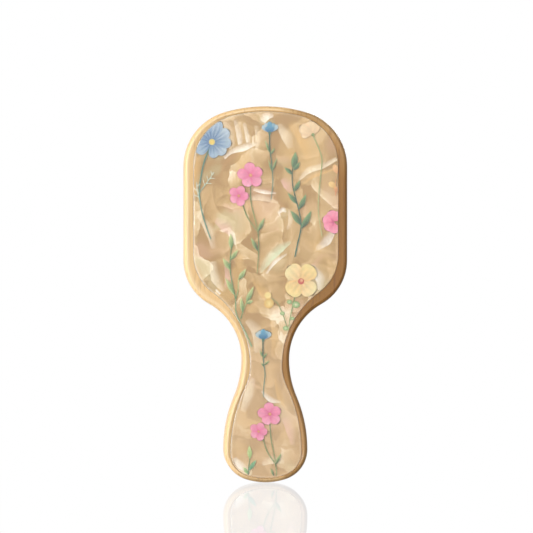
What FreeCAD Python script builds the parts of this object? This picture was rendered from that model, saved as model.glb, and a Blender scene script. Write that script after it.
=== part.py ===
import FreeCAD, Part
import math
import os

import Sketcher
from FreeCAD import Placement, Rotation, Vector

# Small bamboo paddle hairbrush, standing on the end of its handle.
# Millimetres. +Z runs from the handle's end to the crown of the paddle, +X is across the paddle,
# the inlaid back faces -Y and the pins point to +Y. The origin is under the middle of the depth.

DOC = FreeCAD.newDocument("hairbrush")

# ---------------------------------------------------------------- driving dimensions

SIZES = {
    # outline of the bamboo board: a run of tangent arcs from the crown to the handle's end
    "wood_top": 180.0,
    "wood_half_width": 39.1,
    "wood_crown_radius": 70.0,
    "wood_corner_radius": 27.0,
    "wood_shoulder_radius": 24.0,
    "wood_waist_above": 30.5,
    "wood_waist_half": 11.2,
    "wood_waist_height": 58.8,
    "wood_waist_below": 45.0,
    "wood_grip_half": 20.0,
    "wood_grip_height": 15.8,
    "wood_butt_radius": 31.0,
    "wood_base": 0.0,
    # outline of the inlay
    "inlay_top": 177.5,
    "inlay_half_width": 34.75,
    "inlay_crown_radius": 66.0,
    "inlay_corner_radius": 24.5,
    "inlay_shoulder_radius": 22.5,
    "inlay_waist_above": 43.0,
    "inlay_waist_half": 7.65,
    "inlay_waist_height": 56.2,
    "inlay_waist_below": 24.0,
    "inlay_grip_half": 17.05,
    "inlay_grip_height": 14.6,
    "inlay_butt_radius": 28.0,
    "inlay_base": 2.1,
    # bamboo board
    "wood_thickness": 12.6,
    "ridge_inset": 1.7,
    "land_drop": 0.45,
    "front_round": 3.2,
    "recess_gap": 0.12,
    "recess_depth": 1.7,
    # inlay layers, from the wood outwards
    "inlay_proud": 0.4,
    "bond_thickness": 0.15,
    "pearl_thickness": 1.25,
    "undercoat_thickness": 0.5,
    "print_thickness": 0.1,
    "cover_thickness": 0.55,
    "cover_round": 0.5,
    "layer_setback": 0.3,
    # cushion outline: flattened arcs at both ends, straight sides, round corners
    "pad_middle": 134.5,
    "pad_half_length": 38.5,
    "pad_half_width": 32.6,
    "pad_end_radius": 66.0,
    "pad_corner_radius": 21.0,
    # pocket and groove that hold the cushion
    "pocket_depth": 6.6,
    "mouth_round": 0.5,
    "groove_below": 1.2,
    "groove_height": 1.7,
    "groove_reach": 1.5,
    "rubber_gap": 0.15,
    # rubber cushion
    "rubber_thickness": 1.8,
    "dome_height": 6.0,
    "dome_run": 13.0,
    "dome_fall": 5.0,
    "dome_blend": 20.0,
    "vent_radius": 1.2,
    # bamboo pins
    "pin_reach": 15.5,
    "pin_radius": 1.0,
    "pin_ball_radius": 1.35,
    "pin_foot_radius": 2.0,
    "pin_foot_thickness": 0.8,
    "pin_gap": 0.08,
    "pin_seat": 0.25,
}

DERIVED = {
    "wood_back": "=inlay_proud - (inlay_proud + wood_thickness + dome_height + pin_reach) / 2",
    "wood_front": "=wood_back + wood_thickness",
    "cover_back": "=wood_back - inlay_proud",
    "land_edge": "=wood_back + land_drop",
    "recess_floor": "=land_edge + recess_depth",
    "dome_top": "=wood_front + dome_height",
    "pin_length": "=pin_reach + rubber_thickness + pin_seat",
}


def fill_sheet():
    sheet = DOC.addObject("Spreadsheet::Sheet", "sizes")
    row = 1
    for name, value in list(SIZES.items()) + list(DERIVED.items()):
        sheet.set("A%d" % row, name)
        sheet.set("B%d" % row, str(value))
        sheet.setAlias("B%d" % row, name)
        row += 1
    DOC.recompute()
    return sheet


SHEET = fill_sheet()


def length(name):
    return float(SHEET.get(name))


def cell(name):
    return "sizes." + name


# ---------------------------------------------------------------- sketch helpers

def origin_plane(body, role):
    for feature in body.Origin.OriginFeatures:
        if feature.Role == role:
            return feature
    raise RuntimeError("no origin plane " + role)


def add_body(name):
    body = DOC.addObject("PartDesign::Body", name)
    body.Label = name
    return body


def plane_sketch(body, name, depth):
    """A sketch square to the Y axis, at the Y position that the expression gives."""
    sketch = body.newObject("Sketcher::SketchObject", name)
    sketch.AttachmentSupport = [(origin_plane(body, "XZ_Plane"), "")]
    sketch.MapMode = "FlatFace"
    sketch.setExpression("AttachmentOffset.Base.z", "-(" + depth + ")")
    return sketch


def polar(centre, point):
    return math.atan2(point[1] - centre[1], point[0] - centre[0])


def add_arc(sketch, centre, radius, first, last):
    """The shorter arc between two points; returns its index and the ends at first and last."""
    begin = polar(centre, first)
    finish = polar(centre, last)
    forward = (finish - begin) % (2 * math.pi) < math.pi
    circle = Part.Circle(Vector(centre[0], centre[1], 0), Vector(0, 0, 1), radius)
    if forward:
        index = sketch.addGeometry(Part.ArcOfCircle(circle, begin, finish), False)
        return index, 1, 2
    index = sketch.addGeometry(Part.ArcOfCircle(circle, finish, begin), False)
    return index, 2, 1


def add_line(sketch, first, last):
    line = Part.LineSegment(Vector(first[0], first[1], 0), Vector(last[0], last[1], 0))
    return sketch.addGeometry(line, False), 1, 2


def flipped(point):
    return (-point[0], point[1])


def add_piece(sketch, piece, mirror):
    if mirror:
        first, last = flipped(piece["to"]), flipped(piece["from"])
    else:
        first, last = piece["from"], piece["to"]
    if piece["radius"] is None:
        return add_line(sketch, first, last)
    centre = flipped(piece["centre"]) if mirror else piece["centre"]
    return add_arc(sketch, centre, piece["radius"], first, last)


def symmetric_outline(sketch, pieces):
    """A closed run of tangent pieces from the crown down the right side, mirrored to the left.

    The first and last pieces are arcs centred on the vertical axis. Returns one tuple per piece:
    its index, its upper end and its lower end.
    """
    crown, butt = pieces[0], pieces[-1]
    right = [add_arc(sketch, crown["centre"], crown["radius"], flipped(crown["to"]), crown["to"])]
    for piece in pieces[1:-1]:
        right.append(add_piece(sketch, piece, False))
    right.append(add_arc(sketch, butt["centre"], butt["radius"], butt["from"], flipped(butt["from"])))
    left = [add_piece(sketch, piece, True) for piece in pieces[1:-1]]

    for above, below in zip(right[:-1], right[1:]):
        sketch.addConstraint(Sketcher.Constraint("Tangent", above[0], above[2], below[0], below[1]))
    for centred in (right[0], right[-1]):
        sketch.addConstraint(Sketcher.Constraint("PointOnObject", centred[0], 3, -2))
        sketch.addConstraint(Sketcher.Constraint("Horizontal", centred[0], 1, centred[0], 2))

    # on the left each piece runs upwards, so its first end is the lower one
    chain = [(right[0][0], right[0][1])]
    for index, lower, upper in left:
        sketch.addConstraint(Sketcher.Constraint("Coincident", chain[-1][0], chain[-1][1], index, upper))
        chain.append((index, lower))
    sketch.addConstraint(
        Sketcher.Constraint("Coincident", chain[-1][0], chain[-1][1], right[-1][0], right[-1][2])
    )
    for twin, copy in zip(right[1:-2], left[:-1]):
        sketch.addConstraint(Sketcher.Constraint("Symmetric", twin[0], twin[2], copy[0], copy[1], -2))
    for piece, twin, copy in zip(pieces[1:-1], right[1:-1], left):
        if piece["radius"] is not None:
            sketch.addConstraint(Sketcher.Constraint("Equal", twin[0], copy[0]))
    return right


def drive(sketch, constraint, name, expression):
    """Add a constraint and tie its value to an expression on the sheet."""
    index = sketch.addConstraint(constraint)
    sketch.renameConstraint(index, name)
    sketch.setExpression("Constraints." + name, expression)


def drive_radius(sketch, piece, name, value, expression):
    drive(sketch, Sketcher.Constraint("Radius", piece[0], value), name, expression)


def drive_across(sketch, index, end, name, value, expression):
    drive(sketch, Sketcher.Constraint("DistanceX", -1, 1, index, end, value), name, expression)


def drive_up(sketch, index, end, name, value, expression):
    drive(sketch, Sketcher.Constraint("DistanceY", -1, 1, index, end, value), name, expression)


# ---------------------------------------------------------------- the paddle outline

SHRINKS = ("top", "half_width", "crown_radius", "corner_radius", "shoulder_radius", "waist_half",
           "grip_half", "butt_radius")
GROWS = ("waist_above", "waist_below", "base")
STAYS = ("waist_height", "grip_height")


def paddle_values(family, inset):
    values = {}
    for key in SHRINKS:
        values[key] = length(family + "_" + key) - inset
    for key in GROWS:
        values[key] = length(family + "_" + key) + inset
    for key in STAYS:
        values[key] = length(family + "_" + key)
    return values


def paddle_expression(family, key, inset):
    name = cell(family + "_" + key)
    if inset is None or key in STAYS:
        return name
    sign = " - " if key in SHRINKS else " + "
    return name + sign + "(" + inset + ")"


def towards(start, end, distance):
    span = math.hypot(end[0] - start[0], end[1] - start[1])
    return (start[0] + (end[0] - start[0]) * distance / span,
            start[1] + (end[1] - start[1]) * distance / span)


def paddle_pieces(size):
    """Centres and meeting points of the tangent arcs, from the crown to the handle's end."""
    crown = (0.0, size["top"] - size["crown_radius"])
    corner_x = size["half_width"] - size["corner_radius"]
    corner_rise = math.sqrt((size["crown_radius"] - size["corner_radius"]) ** 2 - corner_x ** 2)
    corner = (corner_x, crown[1] + corner_rise)
    above = (size["waist_half"] + size["waist_above"], size["waist_height"])
    shoulder_x = size["half_width"] - size["shoulder_radius"]
    reach = size["waist_above"] + size["shoulder_radius"]
    shoulder = (shoulder_x, above[1] + math.sqrt(reach ** 2 - (above[0] - shoulder_x) ** 2))
    below = (size["waist_half"] + size["waist_below"], size["waist_height"])
    gap = below[0] - size["grip_half"]
    drop = size["waist_height"] - size["grip_height"]
    grip_radius = (gap ** 2 + drop ** 2 - size["waist_below"] ** 2) / (2 * (size["waist_below"] - gap))
    grip = (size["grip_half"] - grip_radius, size["grip_height"])
    butt = (0.0, size["base"] + size["butt_radius"])
    rise = butt[1] - size["grip_height"]
    heel_radius = (size["grip_half"] ** 2 + rise ** 2 - size["butt_radius"] ** 2)
    heel_radius /= 2 * (size["grip_half"] - size["butt_radius"])
    heel = (size["grip_half"] - heel_radius, size["grip_height"])

    meets = [
        towards(crown, corner, size["crown_radius"]),
        (size["half_width"], corner[1]),
        (size["half_width"], shoulder[1]),
        towards(shoulder, above, size["shoulder_radius"]),
        (size["waist_half"], size["waist_height"]),
        towards(grip, below, grip_radius),
        (size["grip_half"], size["grip_height"]),
        towards(butt, heel, size["butt_radius"]),
    ]
    centres = [crown, corner, None, shoulder, above, below, grip, heel, butt]
    radii = [size["crown_radius"], size["corner_radius"], None, size["shoulder_radius"],
             size["waist_above"], size["waist_below"], grip_radius, heel_radius, size["butt_radius"]]
    ends = [None] + meets + [None]
    pieces = []
    for number, (centre, radius) in enumerate(zip(centres, radii)):
        pieces.append({"centre": centre, "radius": radius, "from": ends[number], "to": ends[number + 1]})
    return pieces


def paddle_sketch(body, name, depth, family, inset=None, inset_value=0.0):
    """The paddle outline of one family, moved inwards by inset, at the given Y position."""
    sketch = plane_sketch(body, name, depth)
    size = paddle_values(family, inset_value)
    right = symmetric_outline(sketch, paddle_pieces(size))
    crown, corner, side, shoulder, above, below, grip, heel, butt = right

    def text(key):
        return paddle_expression(family, key, inset)

    drive_radius(sketch, crown, "crown_radius", size["crown_radius"], text("crown_radius"))
    drive_up(sketch, crown[0], 3, "crown_centre", size["top"] - size["crown_radius"],
             text("top") + " - (" + text("crown_radius") + ")")
    drive_radius(sketch, corner, "corner_radius", size["corner_radius"], text("corner_radius"))
    sketch.addConstraint(Sketcher.Constraint("Vertical", side[0]))
    drive_across(sketch, side[0], 1, "half_width", size["half_width"], text("half_width"))
    drive_radius(sketch, shoulder, "shoulder_radius", size["shoulder_radius"], text("shoulder_radius"))
    drive_radius(sketch, above, "waist_above", size["waist_above"], text("waist_above"))
    drive_across(sketch, above[0], 3, "waist_centre", size["waist_half"] + size["waist_above"],
                 text("waist_half") + " + " + text("waist_above"))
    drive_up(sketch, above[0], 3, "waist_height", size["waist_height"], text("waist_height"))
    drive_radius(sketch, below, "waist_below", size["waist_below"], text("waist_below"))
    drive_up(sketch, below[0], 3, "waist_level", size["waist_height"], text("waist_height"))
    drive_across(sketch, grip[0], grip[2], "grip_half", size["grip_half"], text("grip_half"))
    drive_up(sketch, grip[0], grip[2], "grip_height", size["grip_height"], text("grip_height"))
    drive_up(sketch, grip[0], 3, "grip_level", size["grip_height"], text("grip_height"))
    drive_radius(sketch, butt, "butt_radius", size["butt_radius"], text("butt_radius"))
    drive_up(sketch, butt[0], 3, "butt_centre", size["base"] + size["butt_radius"],
             text("base") + " + " + text("butt_radius"))
    return sketch


# ---------------------------------------------------------------- the cushion outline

def pad_pieces(inset, corner_radius):
    """Tangent pieces of the cushion outline moved inwards by inset."""
    end_radius = length("pad_end_radius") - inset
    half_width = length("pad_half_width") - inset
    half_length = length("pad_half_length") - inset
    middle = length("pad_middle")
    corner_x = half_width - corner_radius
    rise = math.sqrt((end_radius - corner_radius) ** 2 - corner_x ** 2)
    top = (0.0, middle + half_length - end_radius)
    bottom = (0.0, middle - half_length + end_radius)
    upper = (corner_x, top[1] + rise)
    lower = (corner_x, bottom[1] - rise)
    ends = [
        None,
        towards(top, upper, end_radius),
        (half_width, upper[1]),
        (half_width, lower[1]),
        towards(bottom, lower, end_radius),
        None,
    ]
    centres = [top, upper, None, lower, bottom]
    radii = [end_radius, corner_radius, None, corner_radius, end_radius]
    pieces = []
    for number, (centre, radius) in enumerate(zip(centres, radii)):
        pieces.append({"centre": centre, "radius": radius, "from": ends[number], "to": ends[number + 1]})
    return pieces


def pad_sketch(body, name, depth, inset=None, inset_value=0.0):
    """The cushion outline, moved inwards by inset, at the given Y position."""
    sketch = plane_sketch(body, name, depth)
    pieces = pad_pieces(inset_value, length("pad_corner_radius") - inset_value)
    top, upper, side, lower, bottom = symmetric_outline(sketch, pieces)
    moved = "" if inset is None else " - (" + inset + ")"
    end_text = cell("pad_end_radius") + moved
    corner_text = cell("pad_corner_radius") + moved
    half_length = cell("pad_half_length") + moved
    drive_radius(sketch, top, "top_radius", pieces[0]["radius"], end_text)
    drive_up(sketch, top[0], 3, "top_centre", pieces[0]["centre"][1],
             cell("pad_middle") + " + (" + half_length + ") - (" + end_text + ")")
    drive_radius(sketch, upper, "upper_corner", pieces[1]["radius"], corner_text)
    sketch.addConstraint(Sketcher.Constraint("Vertical", side[0]))
    drive_across(sketch, side[0], 1, "half_width", pieces[2]["from"][0], cell("pad_half_width") + moved)
    drive_radius(sketch, lower, "lower_corner", pieces[3]["radius"], corner_text)
    drive_radius(sketch, bottom, "bottom_radius", pieces[4]["radius"], end_text)
    drive_up(sketch, bottom[0], 3, "bottom_centre", pieces[4]["centre"][1],
             cell("pad_middle") + " - (" + half_length + ") + (" + end_text + ")")
    return sketch


# ---------------------------------------------------------------- solid helpers

def extrude(body, name, sketch, thickness):
    """Material from the sketch towards +Y."""
    pad = body.newObject("PartDesign::Pad", name)
    pad.Profile = sketch
    pad.Reversed = True
    pad.setExpression("Length", thickness)
    sketch.Visibility = False
    DOC.recompute()
    return pad


def cut_slab(body, name, sketch, depth, towards_back):
    """Remove a slab that starts at the sketch, towards -Y or +Y."""
    before = body.Shape.Volume
    pocket = body.newObject("PartDesign::Pocket", name)
    pocket.Profile = sketch
    pocket.Reversed = towards_back
    pocket.setExpression("Length", depth)
    sketch.Visibility = False
    DOC.recompute()
    if body.Shape.Volume > before - 1.0:
        raise RuntimeError(name + " removed nothing")
    return pocket


def edges_at(shape, level, reach=None):
    """Names of the edges that lie at one Y level, optionally only those outside a half width."""
    names = []
    for number, edge in enumerate(shape.Edges, 1):
        box = edge.BoundBox
        flat = abs(box.YMin - level) < 1e-4 and abs(box.YMax - level) < 1e-4
        if flat and (reach is None or reach(edge)):
            names.append("Edge%d" % number)
    return names


def round_edges(body, name, level, radius, reach=None):
    base = body.Tip
    fillet = body.newObject("PartDesign::Fillet", name)
    fillet.Base = (base, edges_at(base.Shape, level, reach))
    fillet.setExpression("Radius", radius)
    DOC.recompute()
    return fillet


# ---------------------------------------------------------------- bamboo board

def outside_pocket(edge):
    """True for an edge of the board's own outline, false for one around the cushion pocket."""
    box = edge.BoundBox
    middle = edge.valueAt((edge.FirstParameter + edge.LastParameter) / 2)
    inside_width = abs(middle.x) < length("pad_half_width") + 0.01
    inside_length = abs(middle.z - length("pad_middle")) < length("pad_half_length") + 0.01
    return not (inside_width and inside_length and box.ZMin > length("wood_waist_height"))


def build_board():
    body = add_body("bamboo_body")
    outline = paddle_sketch(body, "board_outline", cell("wood_back"), "wood")
    extrude(body, "board", outline, cell("wood_thickness"))
    round_edges(body, "back_edge", length("wood_back"), cell("ridge_inset"))
    round_edges(body, "front_edge", length("wood_front"), cell("front_round"))

    # land that falls from the ridge line to the edge of the recess
    ridge = paddle_sketch(body, "ridge_line", cell("wood_back"), "wood", cell("ridge_inset"),
                          length("ridge_inset"))
    lip = paddle_sketch(body, "recess_lip", cell("land_edge"), "inlay", "-" + cell("recess_gap"),
                        -length("recess_gap"))
    land = body.newObject("PartDesign::SubtractiveLoft", "sloping_land")
    land.Profile = ridge
    land.Sections = [lip]
    land.Ruled = True
    ridge.Visibility = False
    lip.Visibility = False
    DOC.recompute()

    recess = paddle_sketch(body, "inlay_recess_outline", cell("land_edge"), "inlay",
                           "-" + cell("recess_gap"), -length("recess_gap"))
    cut_slab(body, "inlay_recess", recess, cell("recess_depth"), False)

    mouth = pad_sketch(body, "cushion_pocket_outline", cell("wood_front"))
    cut_slab(body, "cushion_pocket", mouth, cell("pocket_depth"), True)
    groove = pad_sketch(body, "cushion_groove_outline",
                        cell("wood_front") + " - " + cell("groove_below"),
                        "-" + cell("groove_reach"), -length("groove_reach"))
    cut_slab(body, "cushion_groove", groove, cell("groove_height"), True)
    round_edges(body, "pocket_mouth", length("wood_front"), cell("mouth_round"),
                lambda edge: not outside_pocket(edge))
    return body


# ---------------------------------------------------------------- inlay layers

def build_layer(name, depth, thickness, inset, inset_value):
    body = add_body(name)
    outline = paddle_sketch(body, name + "_outline", depth, "inlay", inset, inset_value)
    extrude(body, name + "_sheet", outline, thickness)
    return body


def build_inlay():
    """The glued stack in the recess, built up from its floor towards -Y."""
    stack = [
        ("bonding_film", "bond_thickness", True),
        ("pearl_sheet", "pearl_thickness", False),
        ("clear_undercoat", "undercoat_thickness", False),
        ("floral_print", "print_thickness", True),
    ]
    layers = []
    depth = cell("recess_floor")
    for name, thickness, set_back in stack:
        depth += " - " + cell(thickness)
        inset = cell("layer_setback") if set_back else None
        inset_value = length("layer_setback") if set_back else 0.0
        layers.append(build_layer(name, depth, cell(thickness), inset, inset_value))
    cover = build_layer("clear_cover", cell("cover_back"), cell("cover_thickness"), None, 0.0)
    round_edges(cover, "polished_edge", length("cover_back"), cell("cover_round"))
    return layers + [cover]


# ---------------------------------------------------------------- pins

RINGS = [
    # name, distance in from the cushion's edge, number of pins, half-step phase, outward lean
    ("pins_edge", 5.0, 30, 0, 12.0),
    ("pins_shoulder", 11.0, 24, 1, 8.0),
    ("pins_middle", 17.0, 18, 0, 0.0),
    ("pins_inner", 23.0, 12, 1, 0.0),
    ("pins_centre", 29.0, 6, 0, 0.0),
]
SMALLEST_RING_CORNER = 3.0


def path_points(inset, count, phase):
    """Points spaced evenly around one ring: the cushion outline moved inwards, from its top middle."""
    corner = max(length("pad_corner_radius") - inset, SMALLEST_RING_CORNER)
    pieces = pad_pieces(inset, corner)

    def at(point):
        return Vector(point[0], 0, point[1])

    def bend(centre, radius, first, last):
        middle = ((first[0] + last[0]) / 2, (first[1] + last[1]) / 2)
        return Part.Arc(at(first), at(towards(centre, middle, radius)), at(last)).toShape()

    top, upper, side, lower, bottom = pieces
    crest = (0.0, top["centre"][1] + top["radius"])
    trough = (0.0, bottom["centre"][1] - bottom["radius"])
    right = [
        bend(top["centre"], top["radius"], crest, top["to"]),
        bend(upper["centre"], corner, upper["from"], upper["to"]),
        Part.LineSegment(at(side["from"]), at(side["to"])).toShape(),
        bend(lower["centre"], corner, lower["from"], lower["to"]),
        bend(bottom["centre"], bottom["radius"], bottom["from"], trough),
    ]
    mirror = FreeCAD.Matrix()
    mirror.A11 = -1
    left = [edge.transformGeometry(mirror) for edge in reversed(right)]
    wire = Part.Wire(Part.__sortEdges__(right + left))
    steps = wire.discretize(2 * count + 1)[:-1]
    return steps[phase::2]


def dome_rise(inset):
    """Height of the cushion's outer surface above the wood, at a distance in from its edge."""
    slope = length("dome_fall") / length("dome_run")
    edge = length("dome_height") - length("dome_fall")
    return min(edge + inset * slope, length("dome_height"))


def pin_places(inset, count, phase, lean):
    """Placements of one ring's pins; each starts at the top of its foot disc."""
    places = []
    middle = Vector(0, 0, length("pad_middle"))
    slope = math.degrees(math.atan2(length("dome_fall"), length("dome_run")))
    tilt = slope - lean if lean else 0.0
    foot_lift = 2 * length("pin_foot_radius") * math.tan(math.radians(tilt))
    depth = length("rubber_thickness") + length("pin_seat") + foot_lift
    for point in path_points(inset, count, phase):
        outward = point - Vector(0, 0, middle.z)
        outward.z *= length("pad_half_width") / length("pad_half_length")
        outward.normalize()
        angle = math.radians(lean)
        axis = Vector(outward.x * math.sin(angle), math.cos(angle), outward.z * math.sin(angle))
        surface = Vector(point.x, length("wood_front") + dome_rise(inset), point.z)
        places.append(Placement(surface - axis * depth, Rotation(Vector(0, 1, 0), axis)))
    return places


def build_pin():
    """One turned bamboo pin along +Y: foot disc, shaft and ball end, from a half section."""
    body = add_body("pin_pattern")
    sketch = body.newObject("Sketcher::SketchObject", "pin_section")
    sketch.AttachmentSupport = [(origin_plane(body, "XY_Plane"), "")]
    sketch.MapMode = "FlatFace"
    shaft = length("pin_radius")
    foot = length("pin_foot_radius")
    thick = length("pin_foot_thickness")
    ball = length("pin_ball_radius")
    tip = length("pin_length")
    meet = tip - ball - math.sqrt(ball ** 2 - shaft ** 2)
    corners = [(0, -thick), (foot, -thick), (foot, 0), (shaft, 0), (shaft, meet)]
    lines = []
    for first, last in zip(corners[:-1], corners[1:]):
        lines.append(add_line(sketch, first, last)[0])
    circle = Part.Circle(Vector(0, tip - ball, 0), Vector(0, 0, 1), ball)
    start = polar((0, tip - ball), (shaft, meet))
    end = sketch.addGeometry(Part.ArcOfCircle(circle, start, math.pi / 2), False)
    axis = add_line(sketch, (0, tip), (0, -thick))[0]
    for above, below in zip(lines[:-1], lines[1:]):
        sketch.addConstraint(Sketcher.Constraint("Coincident", above, 2, below, 1))
    sketch.addConstraint(Sketcher.Constraint("Coincident", lines[-1], 2, end, 1))
    sketch.addConstraint(Sketcher.Constraint("Coincident", end, 2, axis, 1))
    sketch.addConstraint(Sketcher.Constraint("Coincident", axis, 2, lines[0], 1))
    for index in (lines[0], lines[2]):
        sketch.addConstraint(Sketcher.Constraint("Horizontal", index))
    for index in (lines[1], lines[3]):
        sketch.addConstraint(Sketcher.Constraint("Vertical", index))
    sketch.addConstraint(Sketcher.Constraint("PointOnObject", axis, 1, -2))
    sketch.addConstraint(Sketcher.Constraint("PointOnObject", axis, 2, -2))
    sketch.addConstraint(Sketcher.Constraint("PointOnObject", end, 3, -2))
    sketch.addConstraint(Sketcher.Constraint("PointOnObject", lines[2], 2, -1))
    drive_across(sketch, lines[0], 2, "foot_radius", foot, cell("pin_foot_radius"))
    drive(sketch, Sketcher.Constraint("DistanceY", lines[1], 1, lines[1], 2, thick), "foot_thickness",
          cell("pin_foot_thickness"))
    drive_across(sketch, lines[3], 1, "shaft_radius", shaft, cell("pin_radius"))
    drive(sketch, Sketcher.Constraint("Radius", end, ball), "ball_radius", cell("pin_ball_radius"))
    drive_up(sketch, end, 2, "tip", tip, cell("pin_length"))
    turned = body.newObject("PartDesign::Revolution", "turned_pin")
    turned.Profile = sketch
    turned.ReferenceAxis = (sketch, ["V_Axis"])
    turned.Angle = 360
    sketch.Visibility = False
    DOC.recompute()
    return body


def copies(pattern, name, places):
    """One document object holding a copy of the pattern at every placement."""
    links = []
    for number, place in enumerate(places, 1):
        link = DOC.addObject("App::Link", "%s_copy_%d" % (name, number))
        link.LinkedObject = pattern
        link.Placement = place
        links.append(link)
    group = DOC.addObject("Part::Compound", name)
    group.Label = name
    group.Links = links
    DOC.recompute()
    return group


# ---------------------------------------------------------------- rubber cushion

def add_dome(body, name, start, height, run, fall, blend, inset, inset_value):
    """A block on the cushion outline with its front edge sloped off and blended."""
    outline = pad_sketch(body, name + "_outline", start, inset, inset_value)
    block = extrude(body, name, outline, height)
    top = max(vertex.Y for vertex in block.Shape.Vertexes)
    slope = body.newObject("PartDesign::Chamfer", name + "_slope")
    slope.Base = (block, edges_at(block.Shape, top))
    slope.ChamferType = "Two distances"
    slope.setExpression("Size", fall)
    slope.setExpression("Size2", run)
    DOC.recompute()
    if not edges_at(slope.Shape, top):
        raise RuntimeError(name + " has no flat middle")
    round_edges(body, name + "_blend", top, blend)
    return body


def build_cushion(places):
    thick = cell("rubber_thickness")
    dome_start = cell("wood_front") + " - " + cell("groove_below")
    shell = add_body("rubber_shell")
    add_dome(shell, "dome", dome_start, cell("dome_height") + " + " + cell("groove_below"),
             cell("dome_run"), cell("dome_fall"), cell("dome_blend"), cell("rubber_gap"),
             length("rubber_gap"))
    flange = pad_sketch(shell, "flange_outline", dome_start + " - " + thick + " + " + cell("rubber_gap"),
                        cell("rubber_gap") + " - " + cell("groove_reach"),
                        length("rubber_gap") - length("groove_reach"))
    extrude(shell, "flange", flange, thick + " - " + cell("rubber_gap"))

    core = add_body("air_space")
    slope = "(" + cell("dome_fall") + " / " + cell("dome_run") + ")"
    core_run = "(" + cell("dome_run") + " - " + thick + " / 2)"
    add_dome(core, "air", dome_start + " - " + thick,
             cell("dome_height") + " + " + cell("groove_below"),
             core_run, core_run + " * " + slope, cell("dome_blend"), thick + " + " + cell("rubber_gap"),
             length("rubber_thickness") + length("rubber_gap"))

    hollow = DOC.addObject("Part::Cut", "hollow_cushion")
    hollow.Base = shell
    hollow.Tool = core

    hole = DOC.addObject("Part::Cylinder", "pin_hole")
    hole.setExpression("Radius", cell("pin_radius") + " + " + cell("pin_gap"))
    hole.Height = 3 * length("rubber_thickness")
    vent = DOC.addObject("Part::Cylinder", "vent_hole")
    vent.setExpression("Radius", cell("vent_radius"))
    vent.Height = 3 * length("rubber_thickness")
    turn = Rotation(Vector(0, 0, 1), Vector(0, 1, 0))
    hole_places = []
    for place in places:
        hole_places.append(Placement(place.Base, place.Rotation.multiply(turn)))
    vent_at = Vector(0, length("dome_top") - 2 * length("rubber_thickness"),
                     length("pad_middle") - length("pad_half_length") + 14.0)
    cutters = copies(hole, "pin_holes", hole_places)
    vent.Placement = Placement(vent_at, turn)

    holes = DOC.addObject("Part::Compound", "all_holes")
    holes.Links = [cutters, vent]
    cushion = DOC.addObject("Part::Cut", "rubber_cushion")
    cushion.Label = "rubber_cushion"
    cushion.Base = hollow
    cushion.Tool = holes
    DOC.recompute()
    return cushion


# ---------------------------------------------------------------- assembly, checks and files

def check_everything():
    for item in DOC.Objects:
        if "Invalid" in item.State or "Error" in item.State:
            raise RuntimeError(item.Name + " did not compute: " + str(item.State))
        if hasattr(item, "Shape") and item.TypeId not in ("App::Link", "Sketcher::SketchObject"):
            if item.TypeId.startswith("App::"):
                continue
            if item.Shape.isNull() or not item.Shape.isValid():
                raise RuntimeError(item.Name + " has no valid shape")


def main():
    board = build_board()
    layers = build_inlay()
    pin = build_pin()
    rings = []
    all_places = []
    for name, inset, count, phase, lean in RINGS:
        places = pin_places(inset, count, phase, lean)
        all_places += places
        rings.append(copies(pin, name, places))
    cushion = build_cushion(all_places)
    DOC.recompute()
    check_everything()

    os.makedirs("parts", exist_ok=True)
    for item in [board] + layers + [cushion] + rings:
        item.Shape.exportStep("parts/" + item.Label + ".step")
        box = item.Shape.optimalBoundingBox()
        print("%-14s solids %3d volume %9.1f  x %6.2f..%6.2f y %6.2f..%6.2f z %6.2f..%6.2f" % (
            item.Label, len(item.Shape.Solids), item.Shape.Volume, box.XMin, box.XMax, box.YMin,
            box.YMax, box.ZMin, box.ZMax))


main()
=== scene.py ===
import bisect
import math

import bmesh
import bpy
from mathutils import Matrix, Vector


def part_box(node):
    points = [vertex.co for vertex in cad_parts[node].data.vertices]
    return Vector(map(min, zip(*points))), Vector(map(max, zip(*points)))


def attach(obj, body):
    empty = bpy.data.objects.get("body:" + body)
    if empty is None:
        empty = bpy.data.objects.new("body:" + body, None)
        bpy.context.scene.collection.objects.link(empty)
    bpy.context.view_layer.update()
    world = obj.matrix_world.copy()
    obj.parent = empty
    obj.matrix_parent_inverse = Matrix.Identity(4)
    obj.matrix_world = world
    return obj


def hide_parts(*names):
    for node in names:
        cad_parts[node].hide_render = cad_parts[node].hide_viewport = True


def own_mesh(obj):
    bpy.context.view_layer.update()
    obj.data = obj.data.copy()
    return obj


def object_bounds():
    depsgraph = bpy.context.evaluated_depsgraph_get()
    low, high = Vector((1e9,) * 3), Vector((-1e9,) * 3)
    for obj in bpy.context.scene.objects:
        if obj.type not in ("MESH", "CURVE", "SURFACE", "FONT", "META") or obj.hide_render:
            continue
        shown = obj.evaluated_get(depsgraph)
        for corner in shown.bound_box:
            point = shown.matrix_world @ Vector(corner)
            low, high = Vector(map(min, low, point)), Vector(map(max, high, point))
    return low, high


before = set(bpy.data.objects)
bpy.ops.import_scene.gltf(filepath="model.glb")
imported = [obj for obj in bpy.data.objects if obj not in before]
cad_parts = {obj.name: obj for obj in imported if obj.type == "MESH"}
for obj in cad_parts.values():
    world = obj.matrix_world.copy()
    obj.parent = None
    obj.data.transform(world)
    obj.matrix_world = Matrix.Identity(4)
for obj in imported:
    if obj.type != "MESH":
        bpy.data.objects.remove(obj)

CAD_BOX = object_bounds()
MM = 0.001

# places of the layers, from the frame
WOOD_LOW, WOOD_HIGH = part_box("bamboo_body")
PEARL_LOW, PEARL_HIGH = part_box("pearl_sheet")
UNDER_LOW, UNDER_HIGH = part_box("clear_undercoat")
PRINT_LOW, PRINT_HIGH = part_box("floral_print")
COVER_LOW, COVER_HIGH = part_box("clear_cover")
PAD_LOW, PAD_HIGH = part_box("rubber_cushion")


# ---------------------------------------------------------------- colours and materials

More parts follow.
